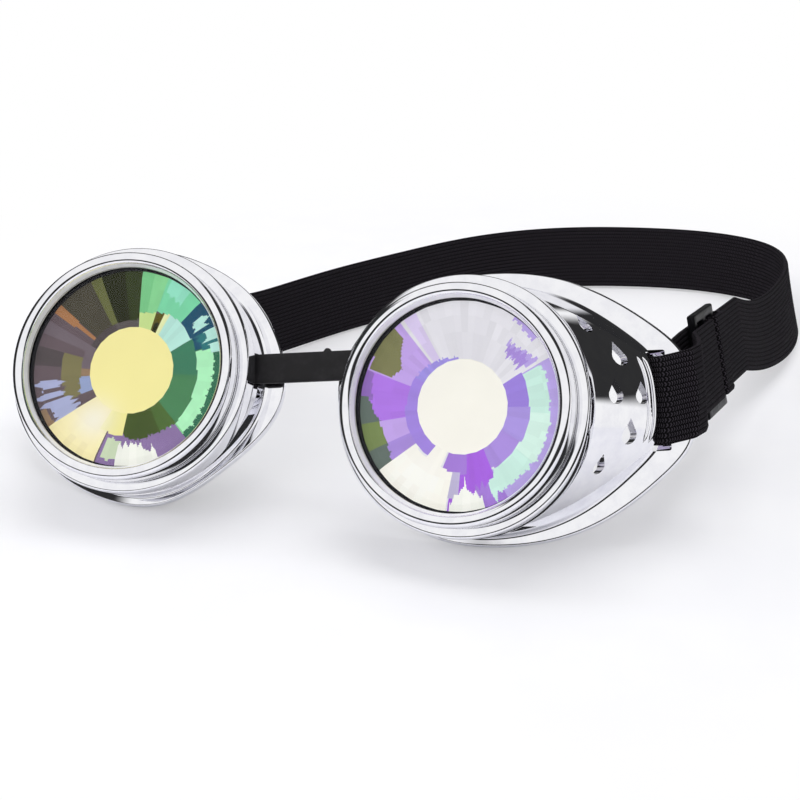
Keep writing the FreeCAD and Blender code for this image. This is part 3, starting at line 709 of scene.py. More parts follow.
def build_ring(side):
    """Turned ring: rounded front, groove and skirt, whose outside carries a right-hand helical thread.

    The thread's depth at a turn rises and falls evenly once in each pitch, and fades at both ends."""
    groove = RING_RADIUS - GROOVE_DEPTH
    corners = [
        (APERTURE_FRONT, 0), (RING_RADIUS, 0), (RING_RADIUS, GROOVE_FRONT), (groove, GROOVE_FRONT),
        (groove, GROOVE_BACK), (RING_RADIUS, GROOVE_BACK), (RING_RADIUS, GRIP_LENGTH),
        (SKIRT_RADIUS, GRIP_LENGTH), (SKIRT_RADIUS, SKIRT_BACK), (SKIRT_BORE, SKIRT_BACK),
        (SKIRT_BORE, RING_LIP), (APERTURE, RING_LIP)]
    profile = rounded(corners, RING_TRIMS, RING_STEPS)
    first = corners.index((SKIRT_RADIUS, SKIRT_BACK)) * RING_STEPS
    turns = full_turn(TURNED_COLUMNS)
    depth = np.linspace(THREAD_FRONT, THREAD_BACK, THREAD_ROWS)[:, None]
    phase = (depth + EYES[side][3] * THREAD_PITCH * turns / (2 * math.pi)) / THREAD_PITCH % 1.0
    fade = np.clip(np.minimum(depth - GRIP_LENGTH, SKIRT_BACK - depth) / THREAD_RUNOUT, 0, 1)
    radius = SKIRT_RADIUS - THREAD_DEPTH * fade * (1 - np.abs(2 * phase - 1))
    deep = np.broadcast_to(depth, radius.shape)
    thread = np.stack([radius * np.cos(turns), deep, radius * np.sin(turns)], axis=-1)
    ring = np.concatenate([spun(profile[:first], turns), thread, spun(profile[first:], turns)])
    faces = grid_faces(*ring.shape[:2], wrap_rows=True)
    piece = mesh_object(side + "_chrome_ring", to_object(ring, side), faces)
    # The last strip of faces closes the profile: it is the bore that widens to the front
    bore = np.arange(len(faces)) >= (len(ring) - 1) * len(turns)
    piece.data.attributes.new("bore", "FLOAT", "FACE").data.foreach_set("value", bore.astype(float))
    return piece


TINTS = {
    "straw": (253, 243, 166), "ivory": (254, 252, 240), "cream": (252, 240, 182),
    "butter": (244, 236, 152), "pale_straw": (234, 240, 182), "lime": (206, 232, 150),
    "leaf": (140, 218, 152), "meadow": (124, 204, 140), "mint": (126, 218, 170), "aqua": (152, 232, 202),
    "pale_mint": (178, 246, 194), "ice": (188, 236, 224), "sea": (46, 118, 122), "teal": (30, 80, 108),
    "pine": (62, 126, 96), "fern": (74, 132, 88), "rim_pine": (54, 114, 86), "moss": (78, 108, 52),
    "dark_moss": (66, 84, 36), "olive_black": (50, 60, 28), "night_green": (38, 42, 20),
    "bronze": (104, 108, 64), "umber": (76, 72, 60), "amber": (172, 122, 82), "dark_amber": (92, 84, 24),
    "ash": (94, 88, 88), "dusk": (84, 76, 78), "mauve": (104, 90, 96), "pale_mauve": (116, 104, 112),
    "khaki": (128, 122, 84), "tan": (150, 124, 98), "lavender": (172, 178, 214),
    "periwinkle": (152, 166, 206), "plum": (142, 118, 166), "pale_sage": (206, 222, 188),
    "frost": (250, 252, 242), "pearl": (232, 231, 236), "rim_lilac": (188, 168, 232),
    "foam": (204, 240, 226), "pale_foam": (216, 246, 232), "deep_violet": (158, 132, 222),
    "pale_violet": (173, 152, 226), "violet": (172, 144, 222), "grape": (168, 100, 224),
    "orchid": (166, 126, 216), "haze": (194, 186, 218), "iris": (164, 150, 232),
    "violet_blue": (166, 138, 228), "lilac": (198, 168, 236), "pale_lilac": (222, 208, 242),
    "bright_violet": (180, 124, 234), "dusk_violet": (150, 112, 192), "slate": (100, 114, 106),
    # The last tint on the next line is painted shadow of the ring's lip on the lens's edge
    "sage": (122, 140, 84), "olive": (128, 128, 86), "ring_lip_shadow": (28, 28, 32),
}

# Patches of the coating, each over those before it: tint, the turns in degrees between which it lies, from
# the right and upwards as it stands, its inner and outer edge at both turns, as shares of the aperture, and
# its teeth
COATINGS = {
    "left": [
        ("mauve", 0, 360, 0.0, 0.0, 1.1, 1.1, 0.0), ("rim_pine", -64, 14, 0.7, 0.7, 1.1, 1.1, 0.0),
        ("pale_mint", -62, 13, 0.77, 0.72, 0.9, 0.9, 0.05),
        ("leaf", -62, -46, 0.77, 0.77, 0.91, 0.92, 0.06), ("teal", 14, 41, 0.69, 0.69, 1.1, 1.1, 0.0),
        ("sea", 12, 24, 0.8, 0.8, 1.1, 1.1, 0.08), ("ice", 27, 34, 0.8, 0.82, 0.9, 0.93, 0.1),
        ("ice", 17, 24, 0.86, 0.88, 0.97, 1.0, 0.1), ("ice", 9, 15, 0.9, 0.9, 1.0, 1.0, 0.06),
        ("mint", 41, 66, 0.69, 0.64, 1.1, 1.1, 0.0), ("aqua", 50, 64, 0.84, 0.86, 1.1, 1.1, 0.05),
        ("leaf", 66, 75, 0.62, 0.6, 1.1, 1.1, 0.0), ("meadow", 75, 83, 0.6, 0.58, 1.1, 1.1, 0.0),
        ("olive_black", 83, 94, 0.5, 0.5, 1.1, 1.1, 0.0),
        ("night_green", 94, 109, 0.5, 0.5, 1.1, 1.1, 0.0), ("bronze", 109, 116, 0.5, 0.5, 1.1, 1.1, 0.0),
        ("umber", 116, 139, 0.5, 0.5, 1.1, 1.1, 0.0), ("amber", 138.5, 144.5, 0.74, 0.74, 1.1, 1.1, 0.0),
        ("amber", 139.5, 143, 0.5, 0.5, 0.75, 0.75, 0.0),
        ("pale_mauve", 150, 158, 0.5, 0.5, 1.1, 1.1, 0.0), ("dusk", 166, 178, 0.7, 0.7, 1.1, 1.1, 0.0),
        ("khaki", 166, 207, 0.5, 0.5, 0.71, 0.73, 0.0),
        ("lavender", 188, 201, 0.76, 0.74, 0.92, 0.9, 0.16), ("mauve", 194, 197, 0.7, 0.7, 0.9, 0.9, 0.1),
        ("lavender", 203, 218, 0.7, 0.66, 0.92, 0.84, 0.16),
        ("tan", 206, 217, 0.94, 0.92, 1.1, 1.1, 0.03), ("pine", -6, 24, 0.4, 0.4, 0.73, 0.71, 0.0),
        ("fern", -46, -6, 0.4, 0.4, 0.77, 0.73, 0.0), ("moss", -60, -46, 0.4, 0.4, 0.76, 0.77, 0.0),
        ("dark_moss", -93, -60, 0.4, 0.4, 0.69, 0.76, 0.0), ("ice", 24, 53, 0.4, 0.4, 0.71, 0.685, 0.0),
        ("pale_straw", 53, 58, 0.4, 0.4, 0.68, 0.66, 0.0),
        ("dark_amber", 58, 66, 0.4, 0.4, 0.66, 0.62, 0.0),
        ("night_green", 59, 64, 0.4, 0.4, 0.55, 0.53, 0.06), ("lime", 66, 83, 0.4, 0.4, 0.62, 0.58, 0.0),
        ("ash", 83, 112, 0.4, 0.4, 0.52, 0.505, 0.0), ("dusk", 112, 150, 0.4, 0.4, 0.505, 0.51, 0.0),
        ("pale_mauve", 150, 180, 0.4, 0.4, 0.52, 0.53, 0.0), ("tan", 178, 187, 0.4, 0.4, 0.52, 0.52, 0.0),
        ("periwinkle", 187, 206, 0.4, 0.4, 0.53, 0.56, 0.03),
        ("mauve", 206, 218, 0.4, 0.4, 0.6, 0.6, 0.0), ("plum", 254, 313, 0.66, 0.78, 1.1, 1.1, 0.04),
        ("dark_moss", 270, 290, 0.5, 0.5, 0.7, 0.74, 0.03),
        ("pale_sage", 256, 268, 0.72, 0.74, 0.93, 0.91, 0.05),
        ("frost", 266, 280, 0.82, 0.78, 1.2, 1.2, 0.12), ("frost", 280, 293, 0.8, 0.93, 1.2, 1.2, 0.1),
        ("cream", 217, 253, 0.4, 0.4, 1.1, 1.1, 0.0), ("butter", 246, 268, 0.4, 0.4, 0.66, 0.69, 0.0),
        # Painted shadow: a dark band round the lens's edge where the ring's lip shades it
        ("ring_lip_shadow", 0, 360, 0.99, 0.99, 1.2, 1.2, 0.0), ("straw", 0, 360, 0.0, 0.0, 0.445, 0.445, 0.0),
    ],
    "right": [
        ("pearl", 0, 360, 0.0, 0.0, 1.1, 1.1, 0.0), ("rim_lilac", -62, 27, 0.68, 0.68, 1.1, 1.1, 0.0),
        ("foam", -59, 26, 0.68, 0.69, 0.9, 0.88, 0.04),
        ("pale_foam", -34, -4, 0.69, 0.69, 0.92, 0.9, 0.03),
        ("rim_lilac", 29, 52, 0.74, 0.72, 0.86, 0.72, 0.12),
        ("violet", 32, 50, 0.72, 0.7, 0.78, 0.7, 0.1), ("rim_lilac", 40, 57, 0.95, 0.97, 1.1, 1.1, 0.04),
        ("lilac", 118, 161, 0.5, 0.5, 1.1, 1.1, 0.0), ("pale_lilac", 117, 125, 0.5, 0.5, 1.1, 1.1, 0.0),
        ("pearl", 125, 127.5, 0.5, 0.5, 1.1, 1.1, 0.0), ("olive", 132, 150, 0.86, 0.69, 1.1, 1.1, 0.01),
        ("olive", 150, 159, 0.69, 0.74, 0.98, 0.96, 0.0),
        ("bright_violet", 160, 191, 0.5, 0.5, 1.0, 0.9, 0.0),
        ("lilac", 191, 207, 0.5, 0.5, 0.9, 0.9, 0.0), ("violet", 207, 220, 0.5, 0.5, 0.9, 0.9, 0.0),
        ("dusk_violet", 160, 177, 0.92, 0.87, 1.1, 1.1, 0.0),
        ("slate", 175, 191, 0.92, 0.81, 1.1, 1.1, 0.02), ("sage", 191, 207, 0.81, 0.79, 1.1, 1.1, 0.0),
        ("slate", 207, 221, 0.8, 0.85, 1.1, 1.1, 0.03), ("deep_violet", 0, 28, 0.4, 0.4, 0.69, 0.68, 0.0),
        ("pale_violet", -28, 0, 0.4, 0.4, 0.7, 0.7, 0.0), ("violet", -60, -28, 0.4, 0.4, 0.67, 0.69, 0.0),
        ("grape", -94, -60, 0.6, 0.66, 1.1, 1.1, 0.0), ("grape", -82, -60, 0.4, 0.4, 0.64, 0.67, 0.0),
        ("orchid", -105, -82, 0.4, 0.4, 0.62, 0.64, 0.0), ("orchid", -76, -58, 0.82, 0.8, 1.1, 1.1, 0.1),
        ("foam", -66, -57, 0.78, 0.74, 0.88, 0.9, 0.14), ("haze", -97, -88, 0.63, 0.62, 0.88, 0.86, 0.0),
        ("frost", -84, -72, 0.77, 0.92, 1.2, 1.2, 0.14), ("frost", -93, -84, 0.95, 0.76, 1.2, 1.2, 0.1),
        ("iris", 96, 150, 0.4, 0.4, 0.46, 0.54, 0.02),
        ("violet_blue", 150, 236, 0.4, 0.4, 0.55, 0.57, 0.0),
        ("ivory", 219, 265, 0.57, 0.62, 1.1, 1.1, 0.0), ("ivory", 236, 253, 0.4, 0.4, 0.62, 0.62, 0.0),
        # Painted shadow: a dark band round the lens's edge where the ring's lip shades it
        ("ring_lip_shadow", 0, 360, 0.99, 0.99, 1.2, 1.2, 0.0), ("ivory", 0, 360, 0.0, 0.0, 0.455, 0.455, 0.0),
    ],
}

# Painted highlight: a soft white glow painted into the pale coating: turn in degrees, share of the aperture,
# width as such a share, and strength
PAINTED_HIGHLIGHTS = {"left": (236.0, 0.62, 0.2, 0.55), "right": (240.0, 0.8, 0.25, 0.3)}
HIGHLIGHT_FLOOR = 0.8
GLASS_INDEX = 1.5
CRYSTAL_ROWS, COLUMNS_PER_FACET, FACET_ANGLE = 54, 30, 2.0
LENS_EASE, BACK_STEP, PINHOLE, BACK_TINT = 0.3, 0.2, 0.3, 0.3
TOOTH_STEP, TOOTH_SHIFT = 4.3, 0.37
STRIP_STEP, STRIP_CONTRAST, STRIP_BANDS = 5.0, 0.1, (0.7, 0.86)
PANE_THICKNESS, PANE_EASE, PANE_CLEARANCE, PANE_HOLE, PANE_COLUMNS = 0.4, 0.12, 0.1, 0.01, 120
# How far the coating's pattern is turned against each eyepiece's own level, in degrees
COATING_TURNS = {"left": 24.0, "right": 5.5}


def apparent(depth):
    """Depth at which a facet seems to lie when it is seen through the flat front."""
    return LENS_FRONT + (depth - LENS_FRONT) / GLASS_INDEX


def scatter(number, salt):
    """Even spread of shares from 0 to 1 for whole numbers, the same on every run."""
    return (np.sin(number * 12.9898 + salt * 78.233) * 43758.5453) % 1.0


def coating_colours_with_painted_light(side, radius, seen):
    """Colour at each radius and turn: the last patch that covers it, in thin strips that differ in tone,
    whitened round one spot by a painted highlight.

    A patch's teeth are triangles of scattered height along its inner and outer edge."""
    reach, turn = np.broadcast_arrays(radius[:, None] / APERTURE, seen[None, :])
    colour = np.zeros(reach.shape + (4,))
    for number, (tint, start, end, *edges, teeth) in enumerate(COATINGS[side]):
        low_start, low_end, high_start, high_end = edges
        share = ((turn - start) % 360) / (end - start)
        cell = np.floor(turn / TOOTH_STEP + TOOTH_SHIFT * number)
        lean = 0.25 + 0.5 * scatter(cell, number + 0.25)
        along = (turn / TOOTH_STEP + TOOTH_SHIFT * number) % 1.0
        tooth = teeth * np.minimum(along / lean, (1 - along) / (1 - lean))
        low = low_start + (low_end - low_start) * share - tooth * scatter(cell, number)
        high = high_start + (high_end - high_start) * share + tooth * scatter(cell, number + 0.5)
        colour[(share <= 1) & (reach >= low) & (reach < high)] = shade(*TINTS[tint])
    strip = np.floor(turn / STRIP_STEP) + 100 * (reach > STRIP_BANDS[0]) + 200 * (reach > STRIP_BANDS[1])
    tone = 1 + STRIP_CONTRAST * (scatter(strip, 3.0) - 0.5) * (reach > TABLE_RADIUS / APERTURE)
    # Painted highlight: the pale parts of the coating are whitened round one spot
    at, out, width, strength = PAINTED_HIGHLIGHTS[side]
    highlight_x, highlight_z = out * math.cos(math.radians(at)), out * math.sin(math.radians(at))
    away = (reach * np.cos(np.radians(turn)) - highlight_x)**2 + (reach * np.sin(np.radians(turn)) - highlight_z)**2
    painted_highlight = strength * np.exp(-away / width**2) * (colour[..., 0] > HIGHLIGHT_FLOOR)
    colour[..., :3] = np.clip(colour[..., :3] * tone[..., None], 0, 1)
    colour[..., :3] += painted_highlight[..., None] * (1 - colour[..., :3])
    return colour


def build_crystal(side):
    """Lens as stacked rings: the coated facets at the depth at which they appear, then the edge and the back.

    A ring is a polygon with one side for each facet, and turns into a circle outside the facets."""
    edge = LENS_RADIUS - LENS_EASE
    breaks = [TABLE_RADIUS, BREAK_RADIUS, FACET_RADIUS]
    front = np.unique(np.concatenate([np.linspace(PINHOLE, edge, CRYSTAL_ROWS), breaks]))
    front_depth = apparent(np.interp(front, breaks, [TABLE_DEPTH, BREAK_DEPTH, LENS_BACK]))
    radius = np.concatenate([front, [edge, FACET_RADIUS - BACK_STEP, BREAK_RADIUS, TABLE_RADIUS, PINHOLE]])
    depth = np.concatenate([front_depth, [LENS_BACK, LENS_BACK, BREAK_DEPTH, TABLE_DEPTH, TABLE_DEPTH]])
    count = FACETS * COLUMNS_PER_FACET
    step = np.arange(count) / COLUMNS_PER_FACET
    corner = np.arange(FACETS + 1)
    waves = (np.cos, np.sin)
    flat = np.stack([np.interp(step, corner, wave(corner * 2 * math.pi / FACETS)) for wave in waves], axis=-1)
    circle = np.stack([wave(step * 2 * math.pi / FACETS) for wave in waves], axis=-1)
    roundness = np.clip((radius - FACET_RADIUS) / (edge - FACET_RADIUS), 0, 1)[:, None, None]
    plane = radius[:, None, None] * ((1 - roundness) * flat + roundness * circle)
    deep = np.broadcast_to(depth[:, None], plane.shape[:2])
    points = np.stack([plane[..., 0], deep, plane[..., 1]], axis=-1)
    faces = tube_faces(len(radius), count)
    lens = mesh_object(side + "_crystal", to_object(points, side), faces, FACET_ANGLE)
    own = np.degrees((np.arange(count) + 0.5) * 2 * math.pi / count)
    pattern = COATING_TURNS[side]
    seen = (own + pattern if EYES[side][3] > 0 else 180.0 - own - pattern) % 360
    colour = coating_colours_with_painted_light(side, (radius[1:] + radius[:-1]) / 2, seen)
    table, plain = shade(*TINTS[COATINGS[side][-1][0]]), shade(*TINTS["pearl"])
    colour[len(front):] = BACK_TINT * colour[len(front):] + (1 - BACK_TINT) * np.array(plain)
    colour = np.concatenate([colour.reshape(-1, 4), [table, plain]])
    sizes = np.zeros(len(lens.data.polygons), dtype=np.int32)
    lens.data.polygons.foreach_get("loop_total", sizes)
    # The coating attribute holds the coating's colours together with a painted highlight and a painted shadow
    # round the edge
    layer = lens.data.attributes.new("coating_and_painted_light", "FLOAT_COLOR", "CORNER")
    layer.data.foreach_set("color", np.repeat(colour, sizes, axis=0).astype(np.float32).ravel())
    return lens


def build_pane(side):
    """Flat polished front of the lens, a thin disc with an eased edge."""
    edge, back = LENS_RADIUS - PANE_CLEARANCE, LENS_FRONT + PANE_THICKNESS
    corners = [(PANE_HOLE, LENS_FRONT), (edge, LENS_FRONT), (edge, back), (PANE_HOLE, back)]
    # Each corner gives four points, and those of the first and the last corner are the same four times
    profile = rounded(corners, (0.0, PANE_EASE, PANE_EASE, 0.0), 4)[3:13]
    disc = spun(profile, full_turn(PANE_COLUMNS))
    faces = tube_faces(*disc.shape[:2])
    return mesh_object(side + "_crystal_front", to_object(disc, side), faces, smooth_angle=30.0)


def web_section(samples=6):
    """Closed section of ribbed webbing: (across, through), with a row of low rounded ribs on both faces."""
    half, thick = RIBBED_WIDTH / 2, STRAP_THICKNESS / 2
    across = np.linspace(-1, 1, RIB_COUNT * samples + 1) * half
    wave = 0.5 + 0.5 * np.cos(2 * math.pi * (across / RIBBED_WIDTH + 0.5) * RIB_COUNT + math.pi)
    upper = np.stack([across, thick - WEB_RIB_DEPTH * (1 - wave)**2], axis=1)
    turn = np.linspace(math.pi / 2, -math.pi / 2, 7)[1:-1]
    edge = np.stack([half + WEB_EDGE * np.cos(turn), thick * WEB_EDGE_SHARE * np.sin(turn)], axis=1)
    return np.concatenate([upper, edge, upper[::-1] * (1, -1), edge[::-1] * (-1, 1)])


def carry_web(name, middle, width, closed=False, bow=None):
    """Webbing: its section carried along a middle line, across along the width, through square to both.

    A bow has a vector for each point of the line, which moves the edges, as the square of across."""
    section = web_section()
    if closed:
        heading = np.gradient(np.concatenate([middle[-2:], middle, middle[:2]]), axis=0)[2:-2]
    else:
        heading = np.gradient(middle, axis=0)
    across = unit(width)[:, None]
    through = unit(np.cross(heading, width))[:, None]
    points = middle[:, None] + section[:, :1] * across + section[:, 1:] * through
    if bow is not None:
        points = points + (2 * section[:, :1] / STRAP_WIDTH)**2 * bow[:, None]
    rows, columns = points.shape[:2]
    faces = grid_faces(rows, columns, wrap_rows=True) if closed else tube_faces(rows, columns)
    loops = lengths_along(middle) / KNIT_LOOP
    rib = (section[:, 0] / RIBBED_WIDTH + 0.5) * RIB_COUNT
    uv = np.stack(np.broadcast_arrays(loops[:, None], rib[None, :]), axis=-1)
    return mesh_object(name, points, faces, WEB_SHARP_ANGLE, uv)


def pull_axes(side):
    """A side's strap directions in its eyepiece's frame: along the pull, outward, and up square to both."""
    pull = unit(np.array(PULLS[side]))
    outward = unit(np.cross(pull, UP))
    return pull, outward, np.cross(outward, pull)


def strap_place(flat, side):
    """Point beside the strap slot from (along the pull, outward), in the whole object's frame."""
    pull, outward, _ = pull_axes(side)
    flat = np.asarray(flat, dtype=float)
    return to_object(SLOT_CENTRE + flat[:, :1] * pull + flat[:, 1:] * outward, side)


def rim_edge(lift):
    """Outermost point of the rim at the temple, on the cylinder that lies a lift over the face."""
    depth = FACE_Y - math.sqrt((FACE_RADIUS + lift)**2 - (TEMPLE_REACH - FACE_X)**2)
    return np.array((TEMPLE_REACH, depth, 0.0))


def lug_corners(side):
    """Inner corners of the webbing round the bar between slot and rim, as (along the pull, outward)."""
    through = SLOT_CENTRE + WALL_ALONG * (SLOT_WIDTH / 2 - BAR_BOW - SOFT_GAP)
    corners = np.array([
        through - WALL_OUT * (CUP_WALL + BAR_BOW), through + WALL_OUT * CUP_WALL,
        rim_edge(RIM_THICKNESS) + (WALL_OUT - WALL_ALONG) * LOOP_LIFT,
        rim_edge(0.0) + (WALL_OUT + WALL_ALONG) * LOOP_LIFT])
    return ((corners - SLOT_CENTRE) @ np.stack(pull_axes(side)[:2], axis=1)).tolist()


def offset_loop(corners, distance):
    """Closed polygon moved outward by a distance: each corner goes to where its two moved sides meet."""
    corners = np.asarray(corners, dtype=float)
    following = np.roll(corners, -1, axis=0)
    area = np.sum(corners[:, 0] * following[:, 1] - following[:, 0] * corners[:, 1])
    after = unit(following - corners)
    out_after = np.stack([after[:, 1], -after[:, 0]], axis=1) * math.copysign(1.0, area)
    out_before = np.roll(out_after, 1, axis=0)
    meeting = 1 + np.sum(out_after * out_before, axis=1, keepdims=True)
    return corners + distance * (out_after + out_before) / meeting


def web_path(corners, trim):
    """Middle line of webbing that goes round a closed list of inner corners."""
    return refined(rounded(offset_loop(corners, STRAP_THICKNESS / 2), trim, TRIM_STEPS), WEB_STEP)


def loop_web(name, corners, side, square_from):
    """Webbing round a closed list of inner corners: upright at the cup, square to the pull further on."""
    path = web_path(corners, LOOP_TRIM)
    ease = np.clip((path[:, :1] - square_from + LOOP_TURN) / LOOP_TURN, 0, 1)
    ease = ease**2 * (3 - 2 * ease)
    width = directed(UP * (1 - ease) + pull_axes(side)[2] * ease, side)
    near = np.clip(1 - np.abs(path[:, :1]) / LOOP_BOW_END, 0, 1)
    bow = directed(-WALL_OUT, side) * near * LOOP_BOW
    return carry_web(name, strap_place(path, side), width, True, bow)


def strap_stations():
    """Middle line and width of the free strap at its stations, from the left loop to the right run."""
    start = LEFT_LOOP_LENGTH + LEFT_SEAM_LENGTH + STRAP_THICKNESS - SEWN_OVERLAP
    first = strap_place([(start, 0.0)], "left")
    last = strap_place([(RUN_END + SOFT_GAP, 0.0)], "right")
    route = STRAP_ROUTE[:, :3] + ring_middle() * (1, 1, 0)
    sagging = (route[-1:] + last) / 2 - (0.0, 0.0, STRAP_SAG)
    stations = np.concatenate([first, route, last])
    away = unit(np.cross(UP, stations[2:] - stations[:-2]))
    leaned = unit(UP + away * np.tan(np.radians(STRAP_ROUTE[:, 3:])))
    left_end, right_end = directed(UP, "left"), directed(pull_axes("right")[2], "right")
    width = np.stack([left_end, *leaned, (leaned[-1] + right_end) / 2, right_end])
    return np.concatenate([first, route, sagging, last]), width


def build_head_strap():
    """Free strap: cubics through the stations give its middle line and width direction."""
    middle, width = strap_stations()
    knots = lengths_along(middle)
    at = np.linspace(0, knots[-1], STRAP_ROWS)
    return carry_web("elastic_head_strap", spline(knots, middle)(at), spline(knots, width)(at))


def build_run():
    """Run behind the slider: folded round the slider's last bar, then one layer to the free strap."""
    turn, close = SLIDER_STATIONS[4] - SOFT_GAP, SLIDER_STATIONS[5] + SLIDER_BAR
    path = web_path([
        (turn, SLIDER_HALF), (close, SLIDER_HALF), (SEAM, SOFT_GAP / 2), (SEAM, -SOFT_GAP / 2),
        (close, -SLIDER_HALF), (turn, -SLIDER_HALF)], FOLD_TRIM)
    line = np.stack([np.linspace(SEAM, RUN_END + SOFT_GAP, RUN_ROWS), np.zeros(RUN_ROWS)], axis=1)
    upward = directed(pull_axes("right")[2], "right")
    layers = [
        carry_web(name, strap_place(flat, "right"), np.broadcast_to(upward, (len(flat), 3)), closed)
        for name, flat, closed in (("strap_fold", path, True), ("strap_run", line, False))]
    return joined("elastic_strap_run", layers)


def build_slider():
    """Slider plate: cells between stations along and across, without the two openings, given a thickness."""
    half = SLIDER_MOUTH / 2
    across = np.array((-half - SLIDER_SIDE, -half, half, half + SLIDER_SIDE))
    along, tall = np.meshgrid(SLIDER_STATIONS, across, indexing="ij")
    pull, _, upward = pull_axes("right")
    base = SLOT_CENTRE + along[..., None] * pull + tall[..., None] * upward
    faces = np.array(grid_faces(6, 4, wrap_columns=False)).reshape(5, 3, 4)
    keep = np.ones((5, 3), dtype=bool)
    keep[[1, 3], 1] = False
    plate = mesh_object("gloss_slider", to_object(base, "right"), faces[keep].tolist())
    thick = plate.modifiers.new("thickness", "SOLIDIFY")
    thick.thickness = SLIDER_THICKNESS * MM
    thick.offset = 0.0
    ease = plate.modifiers.new("eased edges", "BEVEL")
    ease.width = SLIDER_EASE * MM
    ease.segments = 3
    ease.limit_method = "ANGLE"
    return plate


def bridge_frame():
    """Middle of the strip, its directions along, up and through, and half the span between the cups."""
    turn = math.radians(BRIDGE_TURN)
    point = np.array((NECK_RADIUS * math.cos(turn), BRIDGE_DEPTH, NECK_RADIUS * math.sin(turn)))
    span = to_object(point, "right") - to_object(point, "left")
    flex = joint_named("bridge_flex")
    along, upward = unit(span), np.array(flex["axis"])
    return np.array(flex["pos_m"]) / MM, along, upward, np.cross(upward, along), np.linalg.norm(span) / 2


def build_bridge():
    """Bridge strip: rounded section along a straight line, wider at both ends, with one small nub above.

    The section is a circle whose cosine and sine are raised to powers below one, which squares it."""
    middle, along, upward, across, half_span = bridge_frame()
    reach = half_span + BRIDGE_TUCK + BRIDGE_BAR_WIDTH
    at = np.linspace(-reach, reach, BRIDGE_ROWS)[:, None]
    bar = np.clip((np.abs(at) - (reach - BRIDGE_BAR_WIDTH)) / BAR_EASE + 0.5, 0, 1)
    half = BRIDGE_WIDTH / 2 + (BRIDGE_BAR_LENGTH - BRIDGE_WIDTH) / 2 * bar
    end = np.clip((reach - np.abs(at)) / END_EASE, 0.02, 1)**0.5
    nub = NUB_HEIGHT * np.exp(-((at - NUB_AT) / NUB_WIDTH)**4)
    corner = full_turn(BRIDGE_COLUMNS)
    tall = np.sign(np.cos(corner)) * np.abs(np.cos(corner))**BRIDGE_TALL_POWER
    deep = np.sign(np.sin(corner)) * np.abs(np.sin(corner))**BRIDGE_DEEP_POWER
    height = tall * half * (0.9 + 0.1 * end) + np.clip(tall, 0, 1)**8 * nub
    depth = deep * BRIDGE_THICKNESS / 2 * end
    points = middle + at[..., None] * along + height[..., None] * upward + depth[..., None] * across
    faces = tube_faces(BRIDGE_ROWS, BRIDGE_COLUMNS)
    return mesh_object("soft_nose_bridge", points, faces, smooth_angle=50.0)


class GogglesSizes(bpy.types.PropertyGroup):
    """Sizes that shape the dressed pieces."""
    collar_corner: FloatProperty(
        name="Collar corner", description="Rounding of the collar's edges, in mm",
        default=0.8, min=0.1, max=1.4)
    cup_columns: IntProperty(
        name="Cup columns", description="Columns of faces round a cup's wall", default=300, min=60, max=600)


class GogglesFinishes(bpy.types.PropertyGroup):
    """Colours of the plain finishes and of the stage."""
    rubber: FloatVectorProperty(
        name="Bridge", description="Colour of the soft nose bridge", subtype="COLOR", size=4,
        default=shade(21, 20, 22), min=0.0, max=1.0)
    gasket: FloatVectorProperty(
        name="Gasket", description="Colour of the lens gaskets", subtype="COLOR", size=4,
        default=shade(22, 22, 24), min=0.0, max=1.0)
    floor: FloatVectorProperty(
        name="Floor", description="Colour of the floor", subtype="COLOR", size=4,
        default=shade(247, 247, 249), min=0.0, max=1.0)


class GOGGLES_OT_cups(bpy.types.Operator):
    """Build both chromed eye cups"""
    bl_idname = "goggles.cups"
    bl_label = "Eye cups"

    def execute(self, context):
        chrome = chrome_material()
        for side in EYES:
            cup = build_cup(side, context.scene.goggles_sizes)
            finish_piece(cup, chrome, side + "_eyepiece", "chrome", side + "_eye_cup")
        return {"FINISHED"}


class GOGGLES_OT_rings(bpy.types.Operator):
    """Build both screw-on lens rings"""
    bl_idname = "goggles.rings"
    bl_label = "Lens rings"

    def execute(self, context):
        chrome = bpy.data.materials["chrome_plating"]
        for side in EYES:
            finish_piece(build_ring(side), chrome, side + "_ring", "chrome", side + "_lens_ring")
        return {"FINISHED"}


class GOGGLES_OT_crystals(bpy.types.Operator):
    """Build both faceted crystals and their clear fronts"""
    bl_idname = "goggles.crystals"
    bl_label = "Crystals"

    def execute(self, context):
        coated = crystal_material()
        clear = pane_material()
        for side in EYES:
            body = side + "_eyepiece"
            finish_piece(build_crystal(side), coated, body, "crystal", side + "_crystal_lens")
            finish_piece(build_pane(side), clear, body, "crystal")
        return {"FINISHED"}


class GOGGLES_OT_seals(bpy.types.Operator):
    """Give the gaskets and slip washers their finishes"""
    bl_idname = "goggles.seals"
    bl_label = "Gaskets and washers"

    def execute(self, context):
        rubber = rubber_material("gasket_rubber", tuple(context.scene.goggles_finishes.gasket), 0.55)
        nylon = washer_material()
        for side in EYES:
            for node, material in (("_lens_gasket", rubber), ("_slip_washer", nylon)):
                mesh = frame["nodes"][side + node].data
                mesh.materials.clear()
                mesh.materials.append(material)
        return {"FINISHED"}


class GOGGLES_OT_bridge(bpy.types.Operator):
    """Build the soft nose bridge"""
    bl_idname = "goggles.bridge"
    bl_label = "Nose bridge"

    def execute(self, context):
        rubber = rubber_material("bridge_rubber", tuple(context.scene.goggles_finishes.rubber), 0.42)
        bridge = finish_piece(build_bridge(), rubber, None, "black_rubber", "nose_bridge")
        middle, along, _, _, half_span = bridge_frame()
        start = (middle - along * half_span) * MM
        end = (middle + along * half_span) * MM
        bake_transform(bridge)
        return {"FINISHED"}


